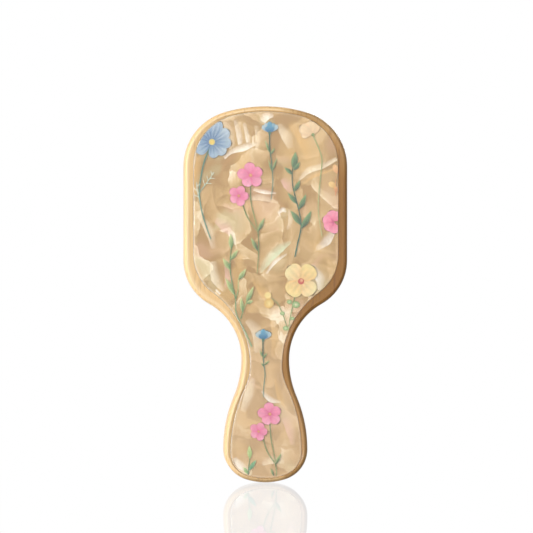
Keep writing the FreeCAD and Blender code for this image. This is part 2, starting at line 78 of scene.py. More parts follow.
def linear(red, green, blue):
    """An sRGB colour, 0 to 255, as linear values."""
    out = []
    for value in (red, green, blue):
        share = value / 255.0
        out.append(share / 12.92 if share <= 0.04045 else ((share + 0.055) / 1.055) ** 2.4)
    return tuple(out) + (1.0,)


class Shader:
    """A short way to build one node material."""

    def __init__(self, name):
        self.material = bpy.data.materials.new(name)
        self.material.use_nodes = True
        self.tree = self.material.node_tree
        self.tree.nodes.clear()
        self.output = self.tree.nodes.new("ShaderNodeOutputMaterial")

    def node(self, kind, settings=None, **inputs):
        made = self.tree.nodes.new("ShaderNode" + kind)
        for key, value in (settings or {}).items():
            setattr(made, key, value)
        for key, value in inputs.items():
            self.feed(made, key.replace("_", " "), value)
        return made

    def feed(self, node, name, value):
        socket = node.inputs[int(name)] if name.isdigit() else node.inputs[name]
        if isinstance(value, bpy.types.NodeSocket):
            self.tree.links.new(value, socket)
        else:
            socket.default_value = value

    def math(self, operation, first, second=0.0, third=0.0):
        made = self.tree.nodes.new("ShaderNodeMath")
        made.operation = operation
        for number, value in enumerate((first, second, third)):
            self.feed(made, str(number), value)
        return made.outputs[0]

    def span(self, value, low, high, out_low=0.0, out_high=1.0):
        made = self.node("MapRange", {"interpolation_type": "SMOOTHSTEP"}, Value=value)
        made.inputs["From Min"].default_value = low
        made.inputs["From Max"].default_value = high
        made.inputs["To Min"].default_value = out_low
        made.inputs["To Max"].default_value = out_high
        return made.outputs[0]

    def ramp(self, value, stops):
        made = self.node("ValToRGB", Fac=value)
        ramp = made.color_ramp
        while len(ramp.elements) < len(stops):
            ramp.elements.new(0.5)
        for element, (place, colour) in zip(ramp.elements, stops):
            element.position = place
            element.color = colour
        return made.outputs[0]

    def mix(self, share, first, second, blend="MIX"):
        made = self.tree.nodes.new("ShaderNodeMix")
        made.data_type = "RGBA"
        made.blend_type = blend
        self.feed(made, "0", share)
        self.feed(made, "6", first)
        self.feed(made, "7", second)
        return made.outputs[2]

    def millimetres(self, across=1.0, deep=1.0, along=1.0):
        """The point in the part's own frame, in millimetres, scaled along each axis."""
        place = self.node("TexCoord").outputs["Object"]
        scaled = self.node("Mapping", Vector=place)
        scaled.inputs["Scale"].default_value = (across / MM, deep / MM, along / MM)
        return scaled.outputs[0]

    def noise(self, vector, scale=1.0, detail=2.0, roughness=0.5, distortion=0.0):
        made = self.node("TexNoise", Vector=vector, Scale=scale, Detail=detail, Roughness=roughness,
                         Distortion=distortion)
        return made

    def bump(self, height, strength, distance):
        made = self.node("Bump", Height=height, Strength=strength)
        made.inputs["Distance"].default_value = distance
        return made.outputs[0]

    def finish(self, shader):
        self.tree.links.new(shader, self.output.inputs["Surface"])
        return self.material


def rim_place(s):
    """Where a point lies on the rim of the inlaid face.

    Across, from -1 at the print's left edge to 1 at its right; height, from 0 at the print's foot to
    1 at its top; depth in millimetres; and how much the point belongs to the inlaid face at all.
    """
    spots = s.node("SeparateXYZ", Vector=s.millimetres())
    low, high = PRINT_HEIGHTS[0] / MM, PRINT_HEIGHTS[-1] / MM
    widest = max(PRINT_WIDTHS) / MM
    stops = []
    for step in range(17):
        share = step / 16
        wide = half_width((low + (high - low) * min(max(share, 0.02), 0.98)) * MM) / MM / widest
        stops.append((share, (wide, wide, wide, 1.0)))
    height = s.math("DIVIDE", s.math("SUBTRACT", spots.outputs[2], low), high - low)
    wide = s.math("MULTIPLY", s.ramp(height, stops), widest)
    across = s.math("DIVIDE", spots.outputs[0], wide)
    face = s.span(spots.outputs[1], WOOD_LOW[1] / MM + 0.9, WOOD_LOW[1] / MM + 5.5, 1.0, 0.0)
    return across, height, spots.outputs[1], face


def tone_rim(s, colour, rim_shade_tone):
    """Painted light and shade on the rim round the inlay: painted shade makes it browner on the right and at
    the foot, painted highlights make it paler on the left and along its ridge."""
    across, height, depth, face = rim_place(s)
    # painted shade on the right-hand rim, weaker near the foot and the top
    right = s.math("MULTIPLY", s.span(across, 0.25, 0.95), face)
    right = s.math("MULTIPLY", right, s.span(height, 0.05, 0.4, 0.78, 1.0))
    right = s.math("MULTIPLY", right, s.span(height, 0.8, 0.97, 1.0, 0.62))
    # painted shade along the foot of the rim
    foot = s.math("MULTIPLY", s.span(height, -0.01, 0.02, 0.4, 0.0), face)
    # painted highlight on the left-hand rim, where the light falls
    left = s.math("MULTIPLY", s.span(across, -0.9, -0.3, 0.2, 0.0), face)
    # painted highlight along the ridge of the rim, kept off the shaded right side
    ridge = s.span(depth, WOOD_LOW[1] / MM + 0.02, WOOD_LOW[1] / MM + 0.2, 0.4, 0.0)
    ridge = s.math("MULTIPLY", ridge, s.math("SUBTRACT", 1.0, right))
    colour = s.mix(left, colour, linear(246, 214, 164))
    colour = s.mix(ridge, colour, linear(250, 228, 190))
    # painted shade: the right-hand rim and the foot take the colour multiplied by the shade tone
    return s.mix(s.math("MAXIMUM", right, foot), colour, s.mix(1.0, colour, rim_shade_tone, "MULTIPLY"))


def bamboo(name, pale, deep, dark, roughness, rim_shade_tone=None):
    """Bamboo: fibres along Z that end as small dark dots where the board is cut across.

    The last argument, where given, is the tone of the painted shade on the right-hand rim and its foot; that
    rim also gets painted highlights on its left and along its ridge.
    """
    s = Shader(name)
    streak = s.noise(s.millimetres(2.4, 2.4, 0.045), detail=3.0, roughness=0.6).outputs[0]
    hair = s.noise(s.millimetres(7.0, 7.0, 0.12), detail=2.0).outputs[0]
    strips = s.noise(s.millimetres(0.11, 0.05, 0.004), detail=1.0).outputs[0]
    cloud = s.noise(s.millimetres(0.09, 0.09, 0.03), detail=2.0).outputs[0]
    dots = s.node("TexVoronoi", {"feature": "F1"}, Vector=s.millimetres(0.95, 0.95, 0.03), Scale=1.0)
    bundle = s.span(dots.outputs["Distance"], 0.16, 0.4, 1.0, 0.0)
    grain = s.math("ADD", s.math("MULTIPLY", streak, 0.55), s.math("MULTIPLY", hair, 0.25))
    grain = s.math("ADD", grain, s.math("MULTIPLY", strips, 0.35))
    colour = s.ramp(s.span(grain, 0.38, 0.78), [(0.0, deep), (0.55, pale), (1.0, pale)])
    facing = s.node("SeparateXYZ", Vector=s.node("NewGeometry").outputs["Normal"]).outputs[2]
    cut_end = s.span(s.math("ABSOLUTE", facing), 0.15, 0.7)
    colour = s.mix(s.math("MULTIPLY", bundle, s.math("ADD", 0.4, s.math("MULTIPLY", cut_end, 0.3))),
                   colour, dark)
    speckle = s.noise(s.millimetres(2.6, 2.6, 2.6), detail=3.0, roughness=0.7).outputs[0]
    colour = s.mix(s.math("MULTIPLY", cut_end, s.span(speckle, 0.52, 0.66, 0.0, 0.3)), colour, dark)
    colour = s.mix(s.math("MULTIPLY", cut_end, s.span(speckle, 0.36, 0.48, 0.3, 0.0)), colour,
                   linear(252, 228, 184))
    colour = s.mix(s.span(cloud, 0.42, 0.7, 0.0, 0.22), colour, deep)
    # painted shade and painted highlights on the rim round the inlay
    if rim_shade_tone:
        colour = tone_rim(s, colour, rim_shade_tone)
    height = s.math("SUBTRACT", s.math("ADD", streak, s.math("MULTIPLY", hair, 0.4)),
                    s.math("MULTIPLY", bundle, 0.5))
    wood = s.node("BsdfPrincipled", Base_Color=colour)
    s.feed(wood, "Roughness", s.span(streak, 0.3, 0.7, roughness - 0.06, roughness + 0.08))
    s.feed(wood, "Normal", s.bump(height, 0.35, 0.00008))
    wood.inputs["Coat Weight"].default_value = 0.12
    wood.inputs["Coat Roughness"].default_value = 0.28
    return s.finish(wood.outputs[0])


def pearl(name):
    """Pearl acetate: curved overlapping flakes, each shaded from dull to bright across itself.

    Where the mesh has a Tint, its alpha says how far that colour takes over.
    """
    s = Shader(name)
    place = s.millimetres(1.0, 0.0, 1.0)
    swirl = s.noise(place, scale=0.055, detail=1.0).outputs["Color"]
    ripple = s.noise(place, scale=0.3, detail=1.0).outputs["Color"]
    warp = s.node("VectorMath", {"operation": "MULTIPLY_ADD"})
    s.feed(warp, "0", swirl)
    warp.inputs[1].default_value = (20.0, 0.0, 20.0)
    s.feed(warp, "2", place)
    warp2 = s.node("VectorMath", {"operation": "MULTIPLY_ADD"})
    s.feed(warp2, "0", ripple)
    warp2.inputs[1].default_value = (3.0, 0.0, 3.0)
    s.feed(warp2, "2", warp.outputs[0])
    bent = warp2.outputs[0]

    def flakes(stretch, scale):
        """Shade, 0 to 1, that runs across each flake in its own direction."""
        shaped = s.node("Mapping", Vector=bent)
        shaped.inputs["Scale"].default_value = stretch
        cells = s.node("TexVoronoi", {"feature": "F1", "distance": "EUCLIDEAN"}, Vector=shaped.outputs[0],
                       Scale=scale)
        offset = s.node("VectorMath", {"operation": "SUBTRACT"})
        s.feed(offset, "0", shaped.outputs[0])
        s.feed(offset, "1", cells.outputs["Position"])
        lean = s.node("VectorMath", {"operation": "SUBTRACT"})
        s.feed(lean, "0", cells.outputs["Color"])
        lean.inputs[1].default_value = (0.5, 0.5, 0.5)
        slope = s.node("VectorMath", {"operation": "DOT_PRODUCT"})
        s.feed(slope, "0", offset.outputs[0])
        s.feed(slope, "1", lean.outputs[0])
        tone = s.node("SeparateColor", Color=cells.outputs["Color"]).outputs[1]
        return slope.outputs["Value"], tone

    wide_slope, wide_tone = flakes((1.0, 1.0, 0.6), 0.085)
    small_slope, small_tone = flakes((0.55, 1.0, 1.0), 0.16)
    silk = s.noise(bent, scale=0.5, detail=3.0, roughness=0.55).outputs[0]
    threads = s.noise(s.millimetres(0.9, 0.0, 0.1), detail=3.0, roughness=0.6, distortion=1.2).outputs[0]
    shade = s.math("ADD", s.math("MULTIPLY", wide_slope, 0.1), s.math("MULTIPLY", small_slope, 0.11))
    shade = s.math("ADD", shade, s.math("MULTIPLY", wide_tone, 0.06))
    shade = s.math("ADD", shade, s.math("MULTIPLY", small_tone, 0.06))
    shade = s.math("ADD", shade, s.math("MULTIPLY", silk, 0.28))
    shade = s.math("ADD", shade, s.math("MULTIPLY", threads, 0.24))
    colour = s.ramp(shade, [
        (0.14, linear(170, 136, 88)),
        (0.34, linear(188, 156, 108)),
        (0.52, linear(202, 172, 126)),
        (0.7, linear(218, 194, 154)),
        (0.9, linear(246, 234, 212)),
    ])
    hue = s.noise(bent, scale=0.06, detail=1.0, roughness=0.4).outputs["Color"]
    parts = s.node("SeparateColor", Color=hue)
    colour = s.mix(s.span(parts.outputs[0], 0.56, 0.7, 0.0, 0.3), colour, linear(226, 184, 168))
    colour = s.mix(s.span(parts.outputs[1], 0.58, 0.72, 0.0, 0.28), colour, linear(206, 212, 176))
    colour = s.mix(s.span(parts.outputs[2], 0.55, 0.7, 0.0, 0.35), colour, linear(226, 190, 128))
    height = s.node("SeparateXYZ", Vector=s.millimetres()).outputs[2]
    colour = s.mix(s.span(height, 45.0, 95.0, 0.3, 0.0), colour, linear(226, 196, 164))
    tint = s.node("Attribute", {"attribute_name": "Tint"})
    strands = s.noise(s.millimetres(1.4, 0.0, 0.5), detail=3.0, distortion=0.8).outputs[0]
    share = s.math("MULTIPLY", tint.outputs["Alpha"], s.span(strands, 0.25, 0.6, 0.6, 1.0))
    colour = s.mix(share, colour, tint.outputs["Color"])
    body = s.node("BsdfPrincipled", Base_Color=colour, Roughness=0.34)
    s.feed(body, "Normal", s.bump(shade, 0.12, 0.0004))
    body.inputs["Metallic"].default_value = 0.12
    body.inputs["Specular IOR Level"].default_value = 0.4
    return s.finish(body.outputs[0])


def clear_layer(name, tint, gloss, roughness, edge_highlight_strength):
    """Clear plastic: lets the layer below through and adds a reflection on its outer faces.

    gloss is how strong the reflection is; the last argument is how strongly a painted highlight, a flat white
    diffuse band, whitens the rounded edge.
    """
    s = Shader(name)
    through = s.node("BsdfTransparent", Color=tint)
    smear = s.noise(s.millimetres(0.25, 0.25, 0.25), detail=3.0).outputs[0]
    shine = s.node("BsdfGlossy", Color=(1.0, 1.0, 1.0, 1.0))
    s.feed(shine, "Roughness", s.span(smear, 0.35, 0.7, roughness, roughness + 0.03))
    edge = s.node("Fresnel", IOR=1.49).outputs[0]
    surface = s.node("NewGeometry")
    outside = s.math("SUBTRACT", 1.0, surface.outputs["Backfacing"])
    share = s.math("MULTIPLY", s.math("MULTIPLY", edge, outside), gloss)
    tilt = s.math("ABSOLUTE", s.node("SeparateXYZ", Vector=surface.outputs["Normal"]).outputs[1])
    # painted highlight: where the face tilts away on the rounded edge, a white diffuse shader is mixed in for
    # the edge's highlight
    rounded = s.math("MULTIPLY", s.span(tilt, 0.45, 0.97, edge_highlight_strength, 0.0), outside)
    pale = s.node("BsdfDiffuse", Color=(0.9, 0.91, 0.92, 1.0))
    base = s.node("MixShader", Fac=rounded)
    s.tree.links.new(through.outputs[0], base.inputs[1])
    s.tree.links.new(pale.outputs[0], base.inputs[2])
    both = s.node("MixShader", Fac=share)
    s.tree.links.new(base.outputs[0], both.inputs[1])
    s.tree.links.new(shine.outputs[0], both.inputs[2])
    return s.finish(both.outputs[0])


def print_material(name, roughness, depth):
    """Printed flowers: the mesh gives the wash of colour, veins run along each petal.

    depth is how dark the thicker pools of ink are.
    """
    s = Shader(name)
    tint = s.node("Attribute", {"attribute_name": "Tint"})
    uv = s.node("UVMap", {"uv_map": "Petal"})
    parts = s.node("SeparateXYZ", Vector=uv.outputs[0])
    ray = s.math("MULTIPLY", parts.outputs[1], 9.2)
    wander = s.noise(s.millimetres(0.8, 0.8, 0.8), detail=2.0).outputs[0]
    ray = s.math("ADD", ray, s.math("MULTIPLY", wander, 1.2))
    line = s.math("POWER", s.math("ABSOLUTE", s.math("SINE", ray)), 2.2)
    fade = s.span(parts.outputs[0], 0.1, 0.95, 1.0, 0.15)
    vein = s.math("MULTIPLY", s.math("MULTIPLY", line, fade), tint.outputs["Alpha"])
    wash = s.noise(s.millimetres(0.5, 0.5, 0.5), detail=4.0, roughness=0.6).outputs[0]
    grain = s.noise(s.millimetres(5.0, 5.0, 5.0), detail=2.0).outputs[0]
    ink = s.mix(1.0, tint.outputs["Color"], (0.92, 0.9, 0.88, 1.0), "MULTIPLY")
    deep = s.mix(1.0, ink, (0.68, 0.76, 0.66, 1.0), "MULTIPLY")
    colour = s.mix(s.span(wash, 0.35, 0.68, depth, 0.0), ink, deep)
    colour = s.mix(s.span(grain, 0.3, 0.7, 0.0, 0.05), colour, (1.0, 1.0, 1.0, 1.0))
    darker = s.mix(1.0, colour, (0.28, 0.42, 0.62, 1.0), "MULTIPLY")
    colour = s.mix(vein, colour, darker)
    body = s.node("BsdfPrincipled", Base_Color=colour, Roughness=roughness)
    s.feed(body, "Normal", s.bump(wash, 0.1, 0.00005))
    return s.finish(body.outputs[0])


def rubber(name):
    """Soft natural rubber with a fine matte skin and a little bloom."""
    s = Shader(name)
    cloud = s.noise(s.millimetres(0.12, 0.12, 0.12), detail=3.0).outputs[0]
    skin = s.noise(s.millimetres(4.0, 4.0, 4.0), detail=2.0).outputs[0]
    speck = s.noise(s.millimetres(1.1, 1.1, 1.1), detail=4.0, roughness=0.7).outputs[0]
    colour = s.ramp(s.span(cloud, 0.3, 0.7), [(0.0, linear(226, 208, 182)), (1.0, linear(240, 226, 204))])
    colour = s.mix(s.span(speck, 0.55, 0.75, 0.0, 0.12), colour, linear(198, 174, 142))
    body = s.node("BsdfPrincipled", Base_Color=colour)
    s.feed(body, "Roughness", s.span(skin, 0.3, 0.7, 0.52, 0.7))
    s.feed(body, "Normal", s.bump(skin, 0.25, 0.00006))
    body.inputs["Sheen Weight"].default_value = 0.15
    body.inputs["Sheen Roughness"].default_value = 0.4
    return s.finish(body.outputs[0])


def adhesive(name):
    """Dried glue, cloudy and off-white."""
    s = Shader(name)
    cloud = s.noise(s.millimetres(0.4, 0.4, 0.4), detail=3.0).outputs[0]
    colour = s.ramp(cloud, [(0.3, linear(214, 206, 186)), (0.7, linear(228, 220, 200))])
    body = s.node("BsdfPrincipled", Base_Color=colour, Roughness=0.5)
    s.feed(body, "Normal", s.bump(cloud, 0.2, 0.0001))
    return s.finish(body.outputs[0])


def floor_material(name):
    """Pale polished surface whose faint mirror image fades out around the brush."""
    s = Shader(name)
    place = s.node("SeparateXYZ", Vector=s.node("TexCoord").outputs["Object"])
    side = s.span(s.math("ABSOLUTE", place.outputs[0]), 0.08, 0.3, 1.0, 0.0)
    ahead = s.span(place.outputs[1], -1.3, 0.0, 0.0, 1.0)
    behind = s.span(place.outputs[1], 0.0, 0.3, 1.0, 0.0)
    fade = s.math("MULTIPLY", s.math("MULTIPLY", side, 0.27), s.math("MULTIPLY", ahead, behind))
    glow = s.node("Emission", Color=(1.0, 1.0, 1.0, 1.0), Strength=1.0)
    mirror = s.node("BsdfGlossy", Color=(1.0, 1.0, 1.0, 1.0), Roughness=0.015)
    both = s.node("MixShader", Fac=fade)
    s.tree.links.new(glow.outputs[0], both.inputs[1])
    s.tree.links.new(mirror.outputs[0], both.inputs[2])
    return s.finish(both.outputs[0])


# ---------------------------------------------------------------- mesh helpers

def add_object(name, mesh, material):
    """A new object with one material, in the scene."""
    made = bpy.data.objects.new(name, mesh)
    bpy.context.scene.collection.objects.link(made)
    mesh.materials.append(material)
    return made


def outline_of(node):
    """Half width of a CAD layer at any height, from its own corner points."""
    widths = {}
    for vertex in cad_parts[node].data.vertices:
        key = round(vertex.co.z, 5)
        widths[key] = max(widths.get(key, 0.0), abs(vertex.co.x))
    heights = sorted(widths)
    return heights, [widths[key] for key in heights]


PRINT_HEIGHTS, PRINT_WIDTHS = outline_of("floral_print")


def half_width(height):
    """Half width of the printed area at a height, in metres."""
    spot = bisect.bisect_left(PRINT_HEIGHTS, height)
    if spot <= 0 or spot >= len(PRINT_HEIGHTS):
        return 0.0
    below, above = PRINT_HEIGHTS[spot - 1], PRINT_HEIGHTS[spot]
    share = (height - below) / max(above - below, 1e-9)
    return PRINT_WIDTHS[spot - 1] * (1 - share) + PRINT_WIDTHS[spot] * share


def inside_print(x, z):
    """Whether a point lies inside the printed area."""
    return abs(x) <= half_width(z)


def pulled_inside(x, z, home):
    """The point itself, or where the way home to a point inside crosses the print's edge."""
    if inside_print(x, z):
        return x, z
    low, high = 0.0, 1.0
    for _ in range(18):
        middle = (low + high) / 2
        if inside_print(home[0] + (x - home[0]) * middle, home[1] + (z - home[1]) * middle):
            low = middle
        else:
            high = middle
    return home[0] + (x - home[0]) * low, home[1] + (z - home[1]) * low


# ---------------------------------------------------------------- printed flowers

class PrintMesh:
    """Flat printed shapes, each on its own hair-thin step so that the later ones lie on top."""

    STEP = 0.0013 * MM

    def __init__(self, depth):
        self.mesh = bmesh.new()
        self.tint = self.mesh.verts.layers.float_color.new("Tint")
        self.uv = self.mesh.loops.layers.uv.new("Petal")
        self.place = {}
        self.floor = depth
        self.depth = depth

    def start(self):
        """The next flower: it lies beside the others, so it starts at the bottom again."""
        self.depth = self.floor

    def rise(self):
        self.depth -= self.STEP

    def point(self, x, z, colour, uv, home):
        x, z = pulled_inside(x, z, home)
        made = self.mesh.verts.new((x, self.depth, z))
        made[self.tint] = colour
        self.place[made] = uv
        return made

    def face(self, corners):
        try:
            made = self.mesh.faces.new(corners)
        except ValueError:
            return
        made.smooth = True
        for loop in made.loops:
            loop[self.uv].uv = self.place[loop.vert]

    def grid(self, rows):
        for lower, upper in zip(rows[:-1], rows[1:]):
            for number in range(len(lower) - 1):
                self.face((lower[number], lower[number + 1], upper[number + 1], upper[number]))

    def build(self, name, material):
        bmesh.ops.dissolve_degenerate(self.mesh, dist=1e-8, edges=self.mesh.edges)
        bmesh.ops.recalc_face_normals(self.mesh, faces=self.mesh.faces)
        for face in self.mesh.faces:
            if face.normal.y > 0:
                face.normal_flip()
        data = bpy.data.meshes.new(name)
        self.mesh.to_mesh(data)
        self.mesh.free()
        return add_object(name, data, material)


def blend_colour(first, second, share):
    return tuple(a + (b - a) * share for a, b in zip(first, second))


def shade(colour, vein):
    return colour[:3] + (vein,)


def petal(sheet, base, angle, long, wide, inner, outer, vein, belly=0.6, notch=0.0, home=None,
          neck=0.9, fall=0.8, rim=0.0):
    """One petal from its base at an angle in degrees from straight up, clockwise.

    belly is where it is widest, notch how deep its tip is cut, neck how slim it starts, fall how far
    out the inner colour reaches and rim how much of it comes back along the edge. Points outside the
    print are pulled back towards home.
    """
    sheet.rise()
    turn = math.radians(angle)
    ahead = (math.sin(turn), math.cos(turn))
    right = (ahead[1], -ahead[0])
    rows = []
    steps, sides = 20, 8
    for row in range(steps + 1):
        s = row / steps
        if s < belly:
            width = math.sin(s / belly * math.pi / 2) ** neck
        else:
            width = math.sqrt(1 - ((s - belly) / (1 - belly)) ** 2.3)
        width = max(width, 0.015) * wide / 2
        line = []
        for column in range(sides + 1):
            t = column / sides * 2 - 1
            dent = notch * long * max(0.0, 1 - abs(t) * 1.6) * s ** 4
            reach = s * long * (1 - 0.06 * t * t * s) - dent
            side = t * width
            x = base[0] + ahead[0] * reach + right[0] * side
            z = base[1] + ahead[1] * reach + right[1] * side
            wash = s ** fall * (0.9 - 0.14 * t) + 0.1 * s * abs(t)
            wash -= rim * max(abs(t), s) ** 6
            colour = blend_colour(inner, outer, min(max(wash, 0.0), 1.0))
            line.append(sheet.point(x * MM, z * MM, shade(colour, vein), (s, t * 0.5 + 0.5),
                                    ((home or base)[0] * MM, (home or base)[1] * MM)))
        rows.append(line)
    sheet.grid(rows)


def disc(sheet, centre, radius, inner, outer, squash=1.0, home=None):
    """A round printed spot."""
    sheet.rise()
    rings = []
    for ring in range(4):
        share = ring / 3
        line = []
        for step in range(17):
            turn = 2 * math.pi * step / 16
            x = centre[0] + math.sin(turn) * radius * share
            z = centre[1] + math.cos(turn) * radius * share * squash
            colour = shade(blend_colour(inner, outer, share), 0.0)
            line.append(sheet.point(x * MM, z * MM, colour, (share, 0.5),
                                    ((home or centre)[0] * MM, (home or centre)[1] * MM)))
        rings.append(line)
    sheet.grid(rings)


def smooth_path(points, steps=10):
    """A Catmull-Rom curve through the points."""
    path = []
    last = len(points) - 1
    for number in range(last):
        before = points[max(number - 1, 0)]
        start, end = points[number], points[number + 1]
        after = points[min(number + 2, last)]
        for step in range(steps):
            t = step / steps
            spot = []
            for axis in range(2):
                a, b, c, d = before[axis], start[axis], end[axis], after[axis]
                spot.append(0.5 * (2 * b + (c - a) * t + (2 * a - 5 * b + 4 * c - d) * t * t
                                   + (3 * b - a - 3 * c + d) * t ** 3))
            path.append(tuple(spot))
    path.append(points[-1])
    return path


def stem(sheet, points, start_width, end_width, first, last):
    """A thin stroke that tapers along its path."""
    sheet.rise()
    path = smooth_path(points)
    rows = []
    for number, spot in enumerate(path):
        ahead = path[min(number + 1, len(path) - 1)]
        behind = path[max(number - 1, 0)]
        dx, dz = ahead[0] - behind[0], ahead[1] - behind[1]
        size = math.hypot(dx, dz) or 1.0
        share = number / (len(path) - 1)
        half = (start_width + (end_width - start_width) * share) / 2
        half *= 1 + 0.12 * math.sin(number * 0.9)
        colour = blend_colour(first, last, share)
        line = []
        for side in (-1, 0, 1):
            x = spot[0] - dz / size * half * side
            z = spot[1] + dx / size * half * side
            line.append(sheet.point(x * MM, z * MM, shade(colour, 0.0), (share, side * 0.5 + 0.5),
                                    (0.0, z * MM)))
        rows.append(line)
    sheet.grid(rows)


def leaf(sheet, base, tip, wide, dark, light, belly=0.45, curl=0.0):
    """A pointed leaf in two halves, the left one lighter."""
    dx, dz = tip[0] - base[0], tip[1] - base[1]
    angle = math.degrees(math.atan2(dx, dz))
    long = math.hypot(dx, dz)
    sheet.rise()
    turn = math.radians(angle)
    ahead = (math.sin(turn), math.cos(turn))
    right = (ahead[1], -ahead[0])
    rows = []
    for row in range(13):
        s = row / 12
        width = math.sin(min(s / belly, 1.0) * math.pi / 2) ** 0.9
        if s > belly:
            width = 1 - ((s - belly) / (1 - belly)) ** 1.55
        width = max(width, 0.01) * wide / 2
        line = []
        for column in range(7):
            t = column / 3 - 1
            side = t * width + curl * long * math.sin(s * math.pi)
            x = base[0] + ahead[0] * s * long + right[0] * side
            z = base[1] + ahead[1] * s * long + right[1] * side
            tone = 0.7 * s ** 1.5 + 0.3 - 0.5 * t * (1.1 - s)
            rib = 0.2 if abs(t) < 0.01 else 0.0
            colour = blend_colour(dark, light, min(max(tone - rib, 0.0), 1.0))
            line.append(sheet.point(x * MM, z * MM, shade(colour, 0.25), (s, t * 0.5 + 0.5),
                                    (base[0] * MM, base[1] * MM)))
        rows.append(line)
    sheet.grid(rows)


TEAL = linear(60, 118, 98)
TEAL_PALE = linear(108, 160, 142)
GREEN = linear(100, 128, 70)
GREEN_DARK = linear(38, 74, 36)
GREEN_PALE = linear(186, 204, 132)
GREEN_YELLOW = linear(160, 172, 104)
FROST = linear(232, 244, 228)
PINK = linear(236, 112, 158)
PINK_DEEP = linear(206, 70, 122)
CREAM = linear(245, 236, 196)
GOLD = linear(240, 206, 90)
ORANGE = linear(226, 134, 84)
RUST = linear(196, 72, 56)
SAND = linear(216, 184, 112)


def feather(sheet, path, barbs):
    """A fine sprig with short hairs to both sides."""
    stem(sheet, path, 0.45, 0.3, TEAL_PALE, FROST)
    curve = smooth_path(path)
    for number in range(barbs):
        spot = int((0.42 + 0.56 * number / barbs) * (len(curve) - 1))
        dx, dz = curve[spot][0] - curve[spot - 1][0], curve[spot][1] - curve[spot - 1][1]
        turn = math.atan2(dx, dz) + (0.95 if number % 2 else -0.95)
        long = 2.7 - 0.9 * number / barbs
        tip = (curve[spot][0] + math.sin(turn) * long, curve[spot][1] + math.cos(turn) * long)
        stem(sheet, [curve[spot], tip], 0.36, 0.24, FROST, FROST)


def draw_cosmos(stems, blooms):
    """Large pale blue cosmos at the top left, cut off by the inlay's edge, on a long bowed stem."""
    stem(stems, [(-26.4, 161.4), (-29.7, 153.0), (-31.3, 145.3), (-32.0, 139.1), (-30.9, 130.5),
                 (-28.7, 122.8), (-26.5, 116.6)], 0.7, 0.45, TEAL, TEAL_PALE)
    feather(stems, [(-31.2, 131.6), (-32.0, 136.0), (-32.9, 139.4), (-33.2, 143.6)], 4)
    feather(stems, [(-31.9, 138.8), (-29.8, 141.6), (-27.4, 144.8), (-25.0, 148.4)], 5)
    centre = (-25.9, 162.9)
    petals = [(172, 8.2, 4.6, 0.4), (132, 9.0, 5.2, 0.9), (94, 9.8, 5.2, 0.5), (56, 10.4, 5.4, 0.9),
              (17, 11.6, 5.8, 0.6), (-28, 10.4, 5.8, 0.2), (-72, 9.8, 5.6, 0.0), (-122, 9.4, 5.8, 0.4)]
    for angle, long, wide, pale in petals:
        outer = blend_colour(linear(158, 188, 212), linear(208, 220, 226), pale)
        petal(blooms, centre, angle, long, wide, linear(86, 130, 176), outer, 1.0, belly=0.68,
              notch=0.13, home=centre, neck=1.1, fall=0.6, rim=0.22)
    disc(blooms, centre, 1.45, GOLD, linear(232, 208, 110))
    for angle in range(0, 360, 45):
        turn = math.radians(angle)
        disc(blooms, (centre[0] + math.sin(turn) * 0.9, centre[1] + math.cos(turn) * 0.9), 0.28,
             linear(250, 226, 130), linear(212, 180, 76))


def draw_blossom(blooms, centre, radius, turn):
    """A round pink flower with five overlapping petals."""
    sizes = (1.0, 0.96, 1.03, 0.94, 1.05)
    tones = (0.55, 0.3, 0.75, 1.0, 0.5)
    for number in (0, 3, 1, 4, 2):
        angle = turn + number * 72
        outer = blend_colour(linear(246, 142, 178), linear(253, 186, 208), tones[number])
        petal(blooms, centre, angle, radius * sizes[number] * 1.07, radius * 0.83, linear(242, 112, 160),
              outer, 0.25, belly=0.6, neck=2.2, rim=0.35)
    for number in range(5):
        angle = turn + number * 72 + 36
        petal(blooms, centre, angle, radius * 0.62, radius * 0.1, linear(228, 92, 142),
              linear(240, 120, 166), 0.0, belly=0.35)
    disc(blooms, centre, radius * 0.15, linear(236, 190, 120), linear(214, 112, 96))


def draw_pink_pair(stems, blooms, big, small, paths, join, leaves):
    """A large and a small pink flower on two stems that join into one."""
    for path in paths:
        stem(stems, path, 0.5, 0.4, GREEN, GREEN_YELLOW)
    stem(stems, join, 0.5, 0.35, GREEN, GREEN_YELLOW)
    for base, tip, wide in leaves:
        leaf(stems, base, tip, wide, GREEN_DARK, GREEN_PALE)
    draw_blossom(blooms, small[0], small[1], 20)
    draw_blossom(blooms, big[0], big[1], -8)


def draw_cup(stems, blooms, base, scale, path, leaves):
    """A small blue flower seen from the side on a thin stem with needle leaves."""
    stem(stems, path, 0.6, 0.3, GREEN_DARK, TEAL_PALE)
    for start, tip, wide in leaves:
        leaf(stems, start, tip, wide, GREEN_DARK, GREEN_PALE, belly=0.4)
    pale, middle, deep = linear(196, 216, 220), linear(104, 176, 208), linear(0, 104, 150)
    soft = blend_colour(middle, pale, 0.5)
    for angle, long, wide, outer in ((-45, 5.1, 2.5, pale), (46, 5.4, 2.5, pale), (-23, 5.2, 2.2, pale),
                                     (25, 5.2, 2.2, soft), (0, 5.6, 2.3, middle)):
        petal(blooms, base, angle, long * scale, wide * scale, deep, outer, 0.2, belly=0.78, neck=1.0,
              fall=0.8)
    petal(blooms, base, 0, 3.4 * scale, 4.4 * scale, deep, middle, 0.1, belly=0.6, neck=0.7, fall=2.2)
    disc(blooms, (base[0], base[1] - 0.1), 0.7 * scale, GREEN_DARK, TEAL, squash=1.3)


